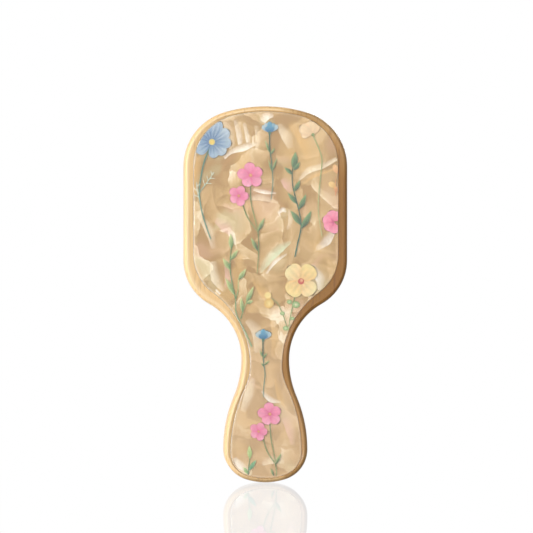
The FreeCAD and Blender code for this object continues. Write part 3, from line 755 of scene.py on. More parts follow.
def draw_peach_bud(stems, blooms):
    """The nodding peach flower at the top right, on a long bowed stem."""
    stem(stems, [(22.4, 166.2), (25.3, 159.8), (26.8, 154.4), (26.2, 146.7), (25.3, 138.1), (25.0, 130.5),
                 (26.0, 122.8), (26.9, 117.6)], 0.5, 0.35, GREEN_YELLOW, linear(196, 204, 146))
    home = (20.6, 169.1)
    warm, light = linear(246, 202, 152), linear(252, 226, 182)
    for base, angle, long, wide in (((22.6, 166.8), 22, 5.2, 3.8), ((22.4, 166.4), -10, 7.0, 6.2),
                                    ((21.4, 166.4), -92, 4.8, 3.4), ((22.2, 166.6), -58, 7.4, 5.4)):
        petal(blooms, base, angle, long, wide, warm, light, 0.3, belly=0.62, home=home, rim=0.45)
    disc(blooms, (22.5, 166.4), 0.8, GREEN, GREEN_YELLOW)


def draw_leafy_sprig(stems):
    """The dark leafy sprig on the right of the paddle."""
    stem(stems, [(12.8, 150.6), (12.5, 144.8), (13.4, 139.1), (15.3, 131.9), (16.6, 125.5), (16.6, 120.9),
                 (15.0, 113.8), (13.8, 108.0)], 0.45, 0.6, GREEN_DARK, TEAL)
    for base, tip, wide in (
            ((12.8, 150.4), (14.1, 158.2), 3.1), ((13.1, 149.4), (16.2, 153.4), 2.0),
            ((12.6, 147.4), (8.7, 150.8), 1.9), ((13.4, 139.2), (16.2, 144.8), 2.1),
            ((14.6, 133.4), (10.3, 138.6), 2.2), ((15.6, 130.6), (19.1, 138.0), 2.4),
            ((16.4, 123.3), (11.7, 130.2), 2.7), ((16.7, 121.4), (21.7, 130.2), 2.8)):
        leaf(stems, base, tip, wide, linear(30, 74, 42), linear(138, 172, 112), curl=0.03)


def draw_poppy(stems, blooms):
    """The big soft yellow flower with a red ring, and its buds."""
    stem(stems, [(14.4, 91.2), (13.0, 85.6), (11.8, 80.1), (10.9, 74.6), (10.3, 71.0)], 0.55, 0.35, GREEN,
         GREEN_PALE)
    stem(stems, [(2.9, 88.1), (5.6, 85.6), (7.9, 80.8), (9.5, 76.2), (10.4, 73.9)], 0.35, 0.35,
         GREEN_YELLOW, GREEN)
    for spot, size in (((11.2, 86.5), 1.2), ((14.3, 85.2), 1.9), ((7.8, 81.0), 1.1), ((9.4, 73.9), 1.3),
                       ((12.6, 78.6), 1.0)):
        disc(stems, spot, size, linear(206, 222, 172), linear(142, 176, 104), squash=0.85)
    disc(stems, (14.3, 85.2), 0.5, CREAM, CREAM)
    centre = (16.8, 96.7)
    warm, pale = linear(252, 230, 156), linear(252, 236, 178)
    for angle, long, wide, outer in ((-42, 9.6, 8.6, pale), (138, 9.2, 8.2, pale), (222, 9.4, 8.6, warm),
                                     (42, 9.4, 8.4, warm)):
        petal(blooms, centre, angle, long, wide, linear(244, 186, 120), outer, 0.2, belly=0.6, notch=0.04,
              home=centre, fall=0.55, rim=0.12)
    disc(blooms, (16.8, 96.3), 1.5, linear(216, 110, 78), RUST)
    disc(blooms, (17.0, 96.8), 0.75, linear(236, 196, 150), linear(222, 140, 104))
    disc(blooms, (0.8, 89.6), 1.7, linear(252, 232, 160), linear(244, 212, 134))
    disc(blooms, (1.4, 85.8), 2.3, linear(246, 222, 146), linear(226, 182, 92), squash=1.05)


def draw_edge_flowers(stems, blooms):
    """Flowers at the right edge, cut through by the inlay's edge."""
    centre = (32.6, 124.8)
    for angle in (-18, -75, -130, 176, 40):
        petal(blooms, centre, angle, 5.9, 5.0, linear(248, 104, 146), linear(255, 176, 200), 0.15,
              belly=0.6, home=centre, neck=1.5, rim=0.25)
    for angle in (-45, -100, -155):
        petal(blooms, centre, angle, 2.6, 0.6, PINK_DEEP, PINK, 0.0, belly=0.3, home=centre)
    stem(stems, [(34.2, 150.0), (33.6, 146.0), (33.3, 142.0), (33.4, 137.5)], 0.6, 0.4, SAND, ORANGE)
    petal(blooms, (33.6, 141.0), -52, 4.6, 2.8, linear(234, 180, 100), linear(250, 216, 140), 0.4,
          home=(31.8, 141.0))
    petal(blooms, (33.7, 138.6), -8, 3.4, 1.8, ORANGE, linear(240, 186, 112), 0.3, home=(32.0, 138.6))
    petal(blooms, (34.0, 147.6), -16, 5.0, 2.6, linear(236, 168, 104), linear(250, 204, 140), 0.3,
          home=(32.2, 147.0))


def draw_branching_sprig(stems):
    """The light green sprig at the lower left of the paddle."""
    light, dark = linear(222, 228, 158), linear(84, 130, 62)
    stem(stems, [(-16.7, 111.9), (-17.2, 106.6), (-17.2, 101.8), (-16.3, 95.6), (-14.7, 88.0),
                 (-14.4, 81.7), (-12.1, 76.2), (-9.8, 71.7), (-6.9, 65.2)], 0.4, 0.55, dark,
         linear(150, 186, 140))
    stem(stems, [(-14.6, 88.0), (-13.5, 92.0), (-13.3, 97.4)], 0.5, 0.35, dark, light)
    stem(stems, [(-12.1, 78.5), (-10.9, 82.6), (-9.2, 86.6), (-7.9, 88.4)], 0.5, 0.35, dark, light)
    for base, tip, wide in (
            ((-16.7, 111.6), (-17.0, 119.2), 2.4), ((-17.1, 106.6), (-13.4, 111.6), 2.0),
            ((-17.2, 101.8), (-20.8, 107.6), 2.3), ((-13.3, 97.0), (-9.6, 102.4), 2.2),
            ((-14.9, 89.6), (-19.6, 98.2), 2.4), ((-9.6, 86.0), (-6.0, 94.0), 2.3),
            ((-11.4, 81.6), (-12.0, 88.8), 1.9), ((-9.4, 85.8), (-6.2, 87.2), 1.7)):
        leaf(stems, base, tip, wide, dark, light)


def draw_handle_sprig(stems):
    """The short light green sprig at the foot of the handle."""
    light, dark = linear(222, 232, 164), linear(110, 152, 92)
    stem(stems, [(-7.9, 11.8), (-8.3, 7.4), (-8.7, 3.6)], 0.35, 0.45, dark, linear(96, 124, 92))
    leaf(stems, (-7.8, 11.4), (-8.1, 17.9), 2.3, linear(176, 204, 120), light)
    leaf(stems, (-8.3, 5.9), (-4.8, 10.9), 1.9, linear(66, 138, 92), linear(150, 200, 150))
    leaf(stems, (-8.8, 4.2), (-10.9, 7.6), 1.6, linear(130, 180, 110), light)


def build_print():
    """All printed flowers, between the clear layers."""
    stems = PrintMesh(PRINT_HIGH[1])
    blooms = PrintMesh((PRINT_LOW[1] + PRINT_HIGH[1]) / 2)
    upper_cup = ((1.7, 167.3), 1.0,
                 [(1.6, 167.2), (1.8, 159.2), (2.5, 154.4), (3.0, 148.7), (3.2, 142.9), (2.4, 135.5)],
                 [((1.9, 157.6), (-0.6, 164.0), 1.3), ((2.2, 157.0), (4.2, 160.2), 1.2),
                  ((3.0, 149.0), (5.3, 155.4), 1.1), ((2.9, 148.6), (1.0, 154.6), 1.0)])
    lower_cup = ((-1.4, 68.4), 0.97,
                 [(-1.5, 68.4), (-1.5, 61.7), (-1.1, 56.9), (-0.5, 51.6), (-1.1, 46.1), (-1.4, 40.9)],
                 [((-1.4, 60.0), (-3.1, 63.4), 1.0), ((-1.4, 59.4), (0.4, 62.2), 1.0),
                  ((-1.0, 56.2), (1.8, 58.6), 0.9), ((-1.1, 55.4), (-2.3, 57.6), 0.8)])
    upper_pair = (((-7.4, 147.0), 6.1), ((-13.1, 137.2), 4.8),
                  [[(-7.5, 142.6), (-7.2, 134.3), (-5.6, 127.1), (-3.9, 120.9)],
                   [(-11.4, 134.2), (-9.0, 127.1), (-4.1, 120.2)]],
                  [(-3.9, 121.0), (-3.6, 111.0), (-4.3, 100.1)],
                  [((-3.8, 120.3), (-0.8, 126.6), 1.9), ((-4.0, 110.8), (-7.3, 117.4), 1.9)])
    lower_pair = (((1.8, 32.8), 5.6), ((-3.6, 24.5), 4.3),
                  [[(1.8, 28.7), (2.3, 21.5), (3.7, 14.5), (4.4, 10.0)],
                   [(-1.6, 21.6), (0.6, 14.8), (4.4, 9.1)]],
                  [(4.4, 9.4), (4.9, 6.2), (5.0, 3.2)],
                  [((4.6, 8.6), (7.3, 14.0), 1.5), ((3.7, 3.0), (2.2, 7.0), 1.1)])
    both = (stems, blooms)
    flowers = [(draw_cosmos, both), (draw_peach_bud, both), (draw_leafy_sprig, (stems,)),
               (draw_branching_sprig, (stems,)), (draw_handle_sprig, (stems,)), (draw_edge_flowers, both),
               (draw_cup, both + upper_cup), (draw_cup, both + lower_cup),
               (draw_pink_pair, both + upper_pair), (draw_pink_pair, both + lower_pair), (draw_poppy, both)]
    for draw, given in flowers:
        stems.start()
        blooms.start()
        draw(*given)
    made = [
        stems.build("print_stems", print_material("printed_leaves", 0.45, 0.75)),
        blooms.build("print_blooms", print_material("printed_petals", 0.4, 0.35)),
    ]
    for piece in made:
        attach(piece, "paddle")
        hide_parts("floral_print")
    return made


# ---------------------------------------------------------------- pearl panel and its bright flakes

WHITE = linear(255, 252, 246)
CREAMY = linear(250, 238, 214)
ROSY = linear(232, 190, 180)
LEAFY = linear(214, 224, 192)
HONEY = linear(224, 184, 118)
UMBER = linear(188, 146, 98)


def panel_ring(setback, depth):
    """One loop of points around the pearl's edge, moved inwards by setback."""
    heights, widths = outline_of("pearl_sheet")
    right = [(w, z) for z, w in zip(heights, widths)]
    left = [(-w, z) for w, z in reversed(right) if w > 1e-6]
    loop = right + left
    points = []
    count = len(loop)
    for number, (x, z) in enumerate(loop):
        before, after = loop[number - 1], loop[(number + 1) % count]
        dx, dz = after[0] - before[0], after[1] - before[1]
        size = math.hypot(dx, dz) or 1.0
        points.append(Vector((x - dz / size * setback, depth, z + dx / size * setback)))
    return points


def build_pearl(material):
    """The pearl sheet, with a softly rounded edge that all but fills the recess; a painted highlight tints
    that edge cream, most on the left.
    """
    mesh = bmesh.new()
    tint = mesh.verts.layers.float_color.new("Tint")
    front = PEARL_LOW[1] + 0.02 * MM
    profile = [(-0.24 * MM, PEARL_HIGH[1]), (-0.24 * MM, front + 0.5 * MM)]
    for step in range(1, 7):
        turn = math.pi / 2 * step / 6
        profile.append(((0.26 - 0.5 * math.cos(turn)) * MM, front + 0.5 * MM * (1 - math.sin(turn))))
    profile += [(0.6 * MM, front), (1.3 * MM, front)]
    # painted highlight on the rounded edge and side wall, fading out onto the flat face
    pearl_edge_highlight = [1.0] * (len(profile) - 2) + [0.6, 0.0]
    loops = []
    for (setback, depth), pale in zip(profile, pearl_edge_highlight):
        loop = [mesh.verts.new(point) for point in panel_ring(setback, depth)]
        for vertex in loop:
            side = vertex.co.x / PEARL_HIGH[0]
            # painted highlight: cream, strongest on the left where the light falls, faint on the right
            vertex[tint] = CREAMY[:3] + (pale * (0.3 - 0.25 * side),)
        loops.append(loop)
    for lower, upper in zip(loops[:-1], loops[1:]):
        count = len(lower)
        for number in range(count):
            after = (number + 1) % count
            mesh.faces.new((lower[number], lower[after], upper[after], upper[number]))
    mesh.faces.new(loops[-1])
    mesh.faces.new(list(reversed(loops[0])))
    bmesh.ops.recalc_face_normals(mesh, faces=mesh.faces)
    data = bpy.data.meshes.new("pearl_panel")
    mesh.to_mesh(data)
    mesh.free()
    for polygon in data.polygons:
        polygon.use_smooth = len(polygon.vertices) == 4
    made = add_object("pearl_panel", data, material)
    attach(made, "paddle")
    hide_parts("pearl_sheet")
    return made


class FlakeMesh:
    """Thin flakes of pearl in the clear layer, each with its own fall of colour and strength."""

    def __init__(self):
        self.mesh = bmesh.new()
        self.tint = self.mesh.verts.layers.float_color.new("Tint")
        self.depth = PEARL_LOW[1] + 0.015 * MM

    def band(self, path, widths, colour, strengths):
        """A flake along a path: its width and its strength go from value to value along it, and it
        fades across itself from its left edge."""
        self.depth -= 0.0012 * MM
        curve = smooth_path(path, 6)
        rows = []
        last = len(curve) - 1
        for number, spot in enumerate(curve):
            ahead, behind = curve[min(number + 1, last)], curve[max(number - 1, 0)]
            dx, dz = ahead[0] - behind[0], ahead[1] - behind[1]
            size = math.hypot(dx, dz) or 1.0
            share = number / last
            half = sample(widths, share) / 2
            strength = sample(strengths, share)
            row = []
            for step in range(7):
                t = step / 3 - 1
                x = (spot[0] - dz / size * half * t) * MM
                z = (spot[1] + dx / size * half * t) * MM
                x, z = pulled_inside(x, z, (0.0, z))
                vertex = self.mesh.verts.new((x, self.depth, z))
                edge = 1 - ((t + 1) / 2) ** 1.7
                vertex[self.tint] = colour[:3] + (strength * max(edge, 0.0),)
                row.append(vertex)
            rows.append(row)
        for lower, upper in zip(rows[:-1], rows[1:]):
            for number in range(6):
                corners = (lower[number], lower[number + 1], upper[number + 1], upper[number])
                self.mesh.faces.new(corners).smooth = True


def sample(values, share):
    """A value along an evenly spaced list."""
    place = share * (len(values) - 1)
    low = min(int(place), len(values) - 2)
    return values[low] + (values[low + 1] - values[low]) * (place - low)


def build_flakes(material):
    """The bright, rosy, greenish and honey flakes of the inlay."""
    sheet = FlakeMesh()
    band = sheet.band
    # upper part of the paddle
    band([(-1.8, 172.4), (0.0, 175.4), (3.6, 175.8)], [3.0, 4.6, 2.0], WHITE, [0.5, 1.0, 0.3])
    band([(-19.5, 174.0), (-17.0, 166.0), (-16.0, 158.0)], [3.0, 4.5, 2.0], CREAMY, [0.2, 0.7, 0.5])
    band([(-14.5, 173.5), (-12.6, 166.0), (-12.0, 159.0)], [2.2, 3.2, 1.6], WHITE, [0.2, 0.6, 0.7])
    band([(-10.2, 172.0), (-8.6, 165.0), (-8.4, 159.5)], [1.8, 2.6, 1.2], WHITE, [0.2, 0.6, 0.9])
    band([(-4.4, 171.0), (-3.6, 164.0), (-4.6, 159.0)], [2.4, 3.0, 1.4], CREAMY, [0.2, 0.7, 0.4])
    band([(-20.0, 155.2), (-15.0, 158.6), (-9.0, 161.0), (-4.0, 162.4)], [2.6, 4.2, 3.4, 0.8], WHITE,
         [0.7, 1.0, 0.9, 0.3])
    band([(-22.0, 146.0), (-20.4, 151.6), (-16.0, 156.0), (-9.0, 158.0)], [1.2, 2.0, 2.6, 1.0], UMBER,
         [0.3, 0.6, 0.6, 0.2])
    band([(6.0, 171.5), (10.0, 166.0), (12.0, 160.0)], [3.0, 6.0, 3.0], CREAMY, [0.4, 0.75, 0.2])
    band([(12.0, 172.5), (18.0, 164.0), (21.0, 154.0)], [4.0, 6.0, 3.0], HONEY, [0.3, 0.6, 0.2])
    band([(-31.5, 156.0), (-33.0, 148.0), (-33.4, 138.0)], [2.4, 3.6, 2.0], HONEY, [0.5, 0.7, 0.3])
    # middle of the paddle
    band([(-6.0, 140.4), (-1.0, 139.2), (5.0, 138.6)], [1.2, 2.4, 0.8], WHITE, [0.4, 0.95, 0.3])
    band([(-8.0, 136.0), (-2.0, 136.6), (6.0, 134.0)], [2.0, 3.6, 1.2], CREAMY, [0.3, 0.7, 0.2])
    band([(5.6, 129.0), (8.2, 130.8), (9.6, 129.4)], [1.2, 2.6, 0.8], WHITE, [0.5, 1.0, 0.4])
    band([(8.0, 145.6), (10.6, 142.4), (12.2, 139.0)], [3.0, 5.0, 2.0], ROSY, [0.4, 0.8, 0.2])
    band([(-24.0, 126.0), (-19.0, 122.6), (-16.0, 118.0)], [3.0, 6.0, 2.0], ROSY, [0.3, 0.7, 0.2])
    band([(-3.0, 101.0), (2.0, 108.0), (7.0, 112.6), (12.0, 115.4)], [2.0, 5.0, 4.4, 1.0], LEAFY,
         [0.3, 0.95, 0.9, 0.3])
    band([(0.0, 100.0), (4.0, 105.6), (10.0, 109.6)], [1.0, 2.2, 0.8], WHITE, [0.3, 0.85, 0.2])
    band([(15.6, 144.6), (20.4, 149.6), (27.0, 151.6), (33.8, 155.2)], [1.0, 3.4, 2.8, 2.0], CREAMY,
         [0.3, 0.85, 0.7, 0.8])
    band([(17.0, 142.4), (22.0, 146.6), (28.0, 148.8), (33.8, 150.4)], [1.0, 2.4, 2.0, 1.0], HONEY,
         [0.3, 0.8, 0.7, 0.3])
    band([(11.0, 130.4), (12.0, 125.6), (10.4, 121.0)], [1.2, 2.6, 1.2], CREAMY, [0.2, 0.6, 0.2])
    band([(24.0, 112.0), (29.0, 116.0), (33.0, 122.0)], [2.0, 5.0, 2.0], WHITE, [0.2, 0.7, 0.3])
    band([(-32.0, 128.0), (-27.0, 121.0), (-25.0, 112.0)], [2.0, 5.0, 2.0], CREAMY, [0.3, 0.7, 0.2])
    # towards the handle
    band([(-24.0, 92.6), (-21.8, 90.4)], [1.0, 1.2], WHITE, [0.6, 0.8])
    band([(-25.0, 106.0), (-24.0, 98.0), (-20.0, 92.0)], [3.0, 5.0, 2.0], CREAMY, [0.4, 0.7, 0.3])
    band([(-19.0, 106.0), (-17.6, 98.0), (-19.0, 93.0)], [2.0, 4.6, 2.0], ROSY, [0.3, 0.7, 0.2])
    band([(-6.0, 98.0), (-1.0, 92.0), (2.0, 84.0)], [3.0, 6.0, 2.0], HONEY, [0.3, 0.7, 0.2])
    band([(22.0, 104.0), (26.0, 98.0), (26.0, 92.0)], [2.0, 5.0, 2.0], WHITE, [0.2, 0.6, 0.3])
    band([(-9.0, 78.0), (-4.0, 72.0), (-4.0, 62.0)], [3.0, 6.0, 3.0], CREAMY, [0.3, 0.6, 0.2])
    band([(3.0, 78.0), (5.0, 70.0), (4.0, 60.0)], [2.0, 5.0, 3.0], HONEY, [0.3, 0.6, 0.2])
    # handle
    band([(-6.0, 50.0), (-8.0, 42.0), (-11.0, 34.0)], [2.0, 5.0, 3.0], CREAMY, [0.3, 0.75, 0.3])
    band([(5.0, 50.0), (7.0, 42.0), (11.0, 34.0)], [2.0, 4.0, 2.0], HONEY, [0.3, 0.6, 0.2])
    band([(-2.0, 44.0), (2.0, 40.0), (7.0, 38.6)], [1.0, 3.0, 1.0], WHITE, [0.3, 0.8, 0.2])
    band([(9.0, 31.0), (12.0, 25.0), (13.0, 18.0)], [3.0, 5.0, 2.0], ROSY, [0.3, 0.6, 0.2])
    band([(-15.0, 12.0), (-12.0, 8.4), (-8.0, 5.4)], [2.0, 4.0, 1.6], WHITE, [0.4, 0.8, 0.3])
    band([(-2.0, 9.0), (3.0, 11.0), (9.0, 10.0)], [2.0, 4.4, 2.0], CREAMY, [0.3, 0.65, 0.2])
    data = bpy.data.meshes.new("pearl_flakes")
    for face in sheet.mesh.faces:
        face.normal_update()
        if face.normal.y > 0:
            face.normal_flip()
    sheet.mesh.to_mesh(data)
    sheet.mesh.free()
    made = add_object("pearl_flakes", data, material)
    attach(made, "paddle")
    return made


# ---------------------------------------------------------------- rubber cushion

PAD_REACH = 1.35 * MM
PAD_END_RADIUS = 66.0 * MM
PAD_CORNER_RADIUS = 21.0 * MM
DOME_EDGE = 1.0 * MM
DOME_RUN = 13.0 * MM
DOME_STEPS = 30
CROWN = 0.25 * MM
CROWN_RINGS = 44
SKIRT = 1.0 * MM
LOOP_POINTS = 480
COLLAR_RADIUS = 1.35 * MM
COLLAR_SIZE = 0.55 * MM
PIN_DIP = 0.3 * MM
PIN_DIP_RADIUS = 0.9 * MM
PIN_NEAR = 7 * MM
VENT_RISE = PAD_REACH + 14.0 * MM
VENT_RADIUS = 1.05 * MM
VENT_DEPTH = 1.7 * MM


def pad_outline(inset):
    """Points around the cushion's outline moved inwards, starting at the top middle."""
    half_wide = PAD_HIGH[0] - PAD_REACH - inset
    half_long = (PAD_HIGH[2] - PAD_LOW[2]) / 2 - PAD_REACH - inset
    middle = (PAD_HIGH[2] + PAD_LOW[2]) / 2
    end = PAD_END_RADIUS - inset
    corner = PAD_CORNER_RADIUS - inset
    corner_x = half_wide - corner
    end_z = half_long - end
    corner_z = end_z + math.sqrt((end - corner) ** 2 - corner_x ** 2)
    sweep = math.asin(corner_x / (end - corner))
    runs = [end * sweep, corner * (math.pi / 2 - sweep), corner_z]
    quarter = []
    per_quarter = LOOP_POINTS // 4
    for step in range(per_quarter):
        place = (step / per_quarter) * sum(runs)
        if place < runs[0]:
            turn = place / end
            quarter.append((end * math.sin(turn), end_z + end * math.cos(turn)))
        elif place < runs[0] + runs[1]:
            turn = sweep + (place - runs[0]) / corner
            quarter.append((corner_x + corner * math.sin(turn), corner_z + corner * math.cos(turn)))
        else:
            quarter.append((half_wide, corner_z - (place - runs[0] - runs[1])))
    points = quarter + [(half_wide, 0.0)]
    points += [(x, -z) for x, z in reversed(quarter[1:])]
    points.append((0.0, -half_long))
    points += [(-x, -z) for x, z in quarter[1:]]
    points.append((-half_wide, 0.0))
    points += [(-x, z) for x, z in reversed(quarter[1:])]
    return [(x, z + middle) for x, z in points]


def dome_height(inset):
    """Height of the rubber above the wood at a distance in from its edge."""
    top = PAD_HIGH[1] - WOOD_HIGH[1]
    if inset < DOME_EDGE:
        return DOME_EDGE * math.sqrt(max(0.0, 1 - (1 - inset / DOME_EDGE) ** 2)) * 0.9
    share = min((inset - DOME_EDGE) / DOME_RUN, 1.0)
    edge = DOME_EDGE * 0.9
    return edge + (top - CROWN - edge) * (1 - (1 - share) ** 1.45)


def islands(node):
    """The separate pins of one CAD node, as lists of points."""
    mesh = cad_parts[node].data
    parent = list(range(len(mesh.vertices)))

    def root(item):
        while parent[item] != item:
            parent[item] = parent[parent[item]]
            item = parent[item]
        return item

    seats = {}
    for vertex in mesh.vertices:
        key = tuple(round(value * 1e6) for value in vertex.co)
        if key in seats:
            parent[root(vertex.index)] = root(seats[key])
        else:
            seats[key] = vertex.index
    for edge in mesh.edges:
        parent[root(edge.vertices[0])] = root(edge.vertices[1])
    groups = {}
    for vertex in mesh.vertices:
        groups.setdefault(root(vertex.index), []).append(vertex.co.copy())
    return list(groups.values())


def pin_axes():
    """A point and a direction for every pin, from its foot disc to its round end."""
    axes = []
    for node in ("pins_edge", "pins_shoulder", "pins_middle", "pins_inner", "pins_centre"):
        for points in islands(node):
            low = min(points, key=lambda p: p.y).y
            high = max(points, key=lambda p: p.y).y
            foot = [p for p in points if p.y < low + 1.0 * MM]
            tip = [p for p in points if p.y > high - 1.0 * MM]
            start = sum(foot, Vector()) / len(foot)
            end = sum(tip, Vector()) / len(tip)
            axes.append((start, (end - start).normalized()))
    return axes


def cushion_loops(base, middle):
    """Loops of points from the skirt in the pocket, over the rolled edge and dome, to the crown."""
    insets = [0.12 * MM, 0.2 * MM, 0.35 * MM, 0.6 * MM, 0.9 * MM]
    insets += [DOME_EDGE + DOME_RUN * step / DOME_STEPS for step in range(1, DOME_STEPS + 1)]
    loops = [[(x, base - SKIRT, z) for x, z in pad_outline(insets[0])]]
    for inset in insets:
        height = dome_height(inset)
        loops.append([(x, base + height, z) for x, z in pad_outline(inset)])
    flat = loops[-1]
    for ring in range(1, CROWN_RINGS):
        share = 1 - ring / CROWN_RINGS
        rise = CROWN * (1 - share * share)
        loops.append([(x * share, y + rise, middle + (z - middle) * share) for x, y, z in flat])
    return loops


def build_cushion():
    """The domed rubber pad, with a rolled edge and a small raised collar around each pin."""
    base = WOOD_HIGH[1]
    middle = (PAD_HIGH[2] + PAD_LOW[2]) / 2
    top = base + dome_height(DOME_EDGE + DOME_RUN) + CROWN
    mesh = bmesh.new()
    rows = []
    for loop in cushion_loops(base, middle):
        rows.append([mesh.verts.new(point) for point in loop])
    for lower, upper in zip(rows[:-1], rows[1:]):
        count = len(lower)
        for number in range(count):
            after = (number + 1) % count
            mesh.faces.new((lower[number], lower[after], upper[after], upper[number]))
    centre = mesh.verts.new((0.0, top, middle))
    for number in range(len(rows[-1])):
        mesh.faces.new((rows[-1][number], rows[-1][(number + 1) % len(rows[-1])], centre))
    shape_skin(mesh, base)
    bmesh.ops.recalc_face_normals(mesh, faces=mesh.faces)
    data = bpy.data.meshes.new("air_cushion")
    mesh.to_mesh(data)
    mesh.free()
    for polygon in data.polygons:
        polygon.use_smooth = True
    made = add_object("air_cushion", data, rubber("natural_rubber"))
    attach(made, "paddle")
    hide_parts("rubber_cushion")
    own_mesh(made)
    return made


def shape_skin(mesh, base):
    """Lift the rubber in a collar round each pin and sink it at the air vent."""
    axes = pin_axes()
    vent = Vector((0.0, 0.0, PAD_LOW[2] + VENT_RISE))
    for vertex in mesh.verts:
        if vertex.co.y < base + 0.3 * MM:
            continue
        nearest = 1.0
        for start, along in axes:
            offset = vertex.co - start
            if abs(offset.x) > PIN_NEAR or abs(offset.z) > PIN_NEAR:
                continue
            away = (offset - along * offset.dot(along)).length
            nearest = min(nearest, away)
        collar = COLLAR_SIZE * math.exp(-((nearest - COLLAR_RADIUS) / COLLAR_SIZE) ** 2)
        dip = -PIN_DIP * math.exp(-(nearest / PIN_DIP_RADIUS) ** 2)
        from_vent = math.hypot(vertex.co.x - vent.x, vertex.co.z - vent.z)
        hole = -VENT_DEPTH * math.exp(-(from_vent / VENT_RADIUS) ** 6)
        vertex.co.y = min(vertex.co.y + collar + dip, PAD_HIGH[1] + 0.6 * MM) + hole


# ---------------------------------------------------------------- light, floor and camera

def area_light(name, place, target, wide, high, power, colour):
    data = bpy.data.lights.new(name, "AREA")
    data.shape = "RECTANGLE"
    data.size, data.size_y = wide, high
    data.energy = power
    data.color = colour
    made = bpy.data.objects.new(name, data)
    made.location = place
    made.rotation_euler = (Vector(target) - Vector(place)).to_track_quat("-Z", "Y").to_euler()
    bpy.context.scene.collection.objects.link(made)
    return made


def build_world():
    """White where it is seen; as light, bright from the left and dim from the right."""
    world = bpy.data.worlds.new("studio")
    bpy.context.scene.world = world
    world.use_nodes = True
    tree = world.node_tree
    tree.nodes.clear()

    def background(grey):
        made = tree.nodes.new("ShaderNodeBackground")
        made.inputs["Color"].default_value = (grey, grey, grey, 1.0)
        made.inputs["Strength"].default_value = 1.0
        return made

    def ramp(value, low, high, start=0.0, end=1.0):
        made = tree.nodes.new("ShaderNodeMapRange")
        for name, number in (("From Min", low), ("From Max", high), ("To Min", start), ("To Max", end)):
            made.inputs[name].default_value = number
        tree.links.new(value, made.inputs["Value"])
        return made.outputs[0]

    def mix(share, first, second):
        made = tree.nodes.new("ShaderNodeMixShader")
        for number, value in enumerate((share, first, second)):
            tree.links.new(value, made.inputs[number])
        return made.outputs[0]

    seen, light, shine = background(1.0), background(0.8), background(0.8)
    coordinate = tree.nodes.new("ShaderNodeTexCoord")
    split = tree.nodes.new("ShaderNodeSeparateXYZ")
    tree.links.new(coordinate.outputs["Generated"], split.inputs[0])
    across, deep, up = split.outputs
    tree.links.new(ramp(across, -1.0, 1.0, 0.76, 0.2), light.inputs["Strength"])
    tree.links.new(ramp(across, -0.75, -0.25, 5.0, 0.55), shine.inputs["Strength"])
    white = tree.nodes.new("ShaderNodeMath")
    white.operation = "MAXIMUM"
    tree.links.new(ramp(deep, 0.1, 0.3), white.inputs[0])
    tree.links.new(ramp(up, 0.0, 0.03), white.inputs[1])
    mirrored = mix(white.outputs[0], shine.outputs[0], seen.outputs[0])
    path = tree.nodes.new("ShaderNodeLightPath")
    unseen = mix(path.outputs["Is Glossy Ray"], light.outputs[0], mirrored)
    out = tree.nodes.new("ShaderNodeOutputWorld")
    tree.links.new(mix(path.outputs["Is Camera Ray"], unseen, seen.outputs[0]), out.inputs[0])


def build_stage():
    """A pale floor that throws no light or shadow on the brush, the surroundings and four soft lights."""
    floor_z = WOOD_LOW[2] - 0.3 * MM
    half = 12.0
    mesh = bpy.data.meshes.new("floor")
    corners = [(-half, -half, floor_z), (half, -half, floor_z), (half, half, floor_z), (-half, half, floor_z)]
    mesh.from_pydata(corners, [], [(0, 1, 2, 3)])
    floor = add_object("floor", mesh, floor_material("pale_floor"))
    floor.visible_diffuse = False
    floor.visible_glossy = False
    floor.visible_shadow = False
    build_world()
    focus = (0.0, 0.0, 0.1)
    area_light("key", (-0.85, -0.79, 0.4), focus, 0.45, 0.6, 11.8, (1.0, 0.99, 0.97))
    area_light("side_strip", (-0.8, -0.2, 0.12), focus, 0.12, 0.7, 0.8, (1.0, 0.99, 0.97))
    area_light("front_fill", (0.2, -1.3, 0.3), focus, 0.9, 0.9, 3.4, (1.0, 0.99, 0.98))
    area_light("pin_side", (0.5, 0.9, 0.6), focus, 0.6, 0.6, 9.0, (1.0, 0.98, 0.96))


LENS = 200.0
SENSOR = 36.0
AZIMUTH = math.radians(-4.5)
ELEVATION = math.radians(1.2)
SEEN_HEIGHTS = 1.4320
LOOK_SHARE = 0.5728
LOOK_SIDE = 1.5 * MM


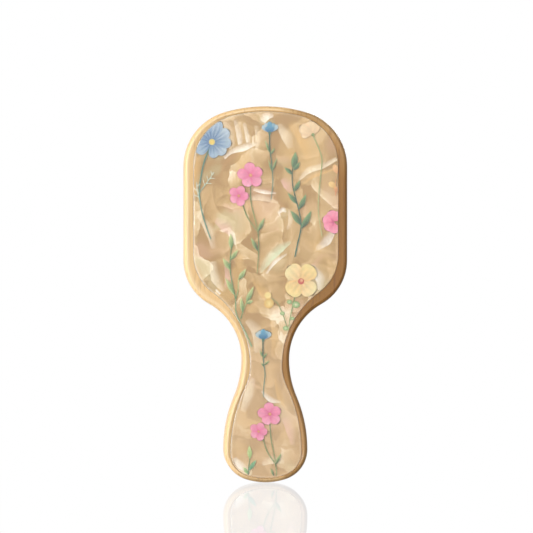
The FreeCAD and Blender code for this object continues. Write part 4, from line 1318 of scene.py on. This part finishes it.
def build_camera():
    """Long lens, almost level with the brush and a little to its left.

    The picture is SEEN_HEIGHTS of the brush's heights wide and centred at LOOK_SHARE of its height.
    """
    lo, hi = CAD_BOX
    camera = bpy.data.objects.new("camera", bpy.data.cameras.new("camera"))
    bpy.context.scene.collection.objects.link(camera)
    camera.data.lens = LENS
    camera.data.sensor_width = SENSOR
    level = math.cos(ELEVATION)
    back = Vector((math.sin(AZIMUTH) * level, -math.cos(AZIMUTH) * level, math.sin(ELEVATION)))
    distance = (hi[2] - lo[2]) * SEEN_HEIGHTS * LENS / SENSOR
    target = Vector((LOOK_SIDE, 0.0, lo[2] + (hi[2] - lo[2]) * LOOK_SHARE))
    camera.location = target + back * distance
    camera.rotation_euler = (-back).to_track_quat("-Z", "Y").to_euler()
    camera.data.clip_start = 0.05
    camera.data.clip_end = 20.0
    bpy.context.scene.camera = camera


# ---------------------------------------------------------------- assembly

def dress_cad_nodes():
    """Materials for the CAD pieces that are shown as they are."""
    # the board's last colour is the tone of the painted shade on the right-hand rim and its foot
    board = bamboo("board_bamboo", linear(226, 188, 132), linear(212, 168, 108), linear(150, 104, 60), 0.42,
                   (0.33, 0.215, 0.045, 1.0))
    pins = bamboo("pin_bamboo", linear(236, 204, 150), linear(222, 182, 122), linear(170, 122, 70), 0.36)
    # the last number of each clear layer is the strength of the painted white highlight on its rounded edge
    cover = clear_layer("clear_topcoat", (1.0, 1.0, 1.0, 1.0), 1.0, 0.02, 0.4)
    under = clear_layer("clear_base_layer", (0.995, 0.985, 0.965, 1.0), 0.0, 0.1, 0.15)
    glue = adhesive("dried_adhesive")
    chosen = {"bamboo_body": board, "clear_cover": cover, "clear_undercoat": under, "bonding_film": glue}
    for name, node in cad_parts.items():
        material = chosen.get(name, pins if name.startswith("pins_") else None)
        if material is None:
            continue
        node.data.materials.clear()
        node.data.materials.append(material)


def main():
    bpy.context.scene.view_settings.view_transform = "Standard"
    bpy.context.scene.cycles.transparent_max_bounces = 24
    build_camera()
    build_stage()
    dress_cad_nodes()
    acetate = pearl("pearl_acetate")
    build_pearl(acetate)
    build_flakes(acetate)
    build_print()
    build_cushion()


main()
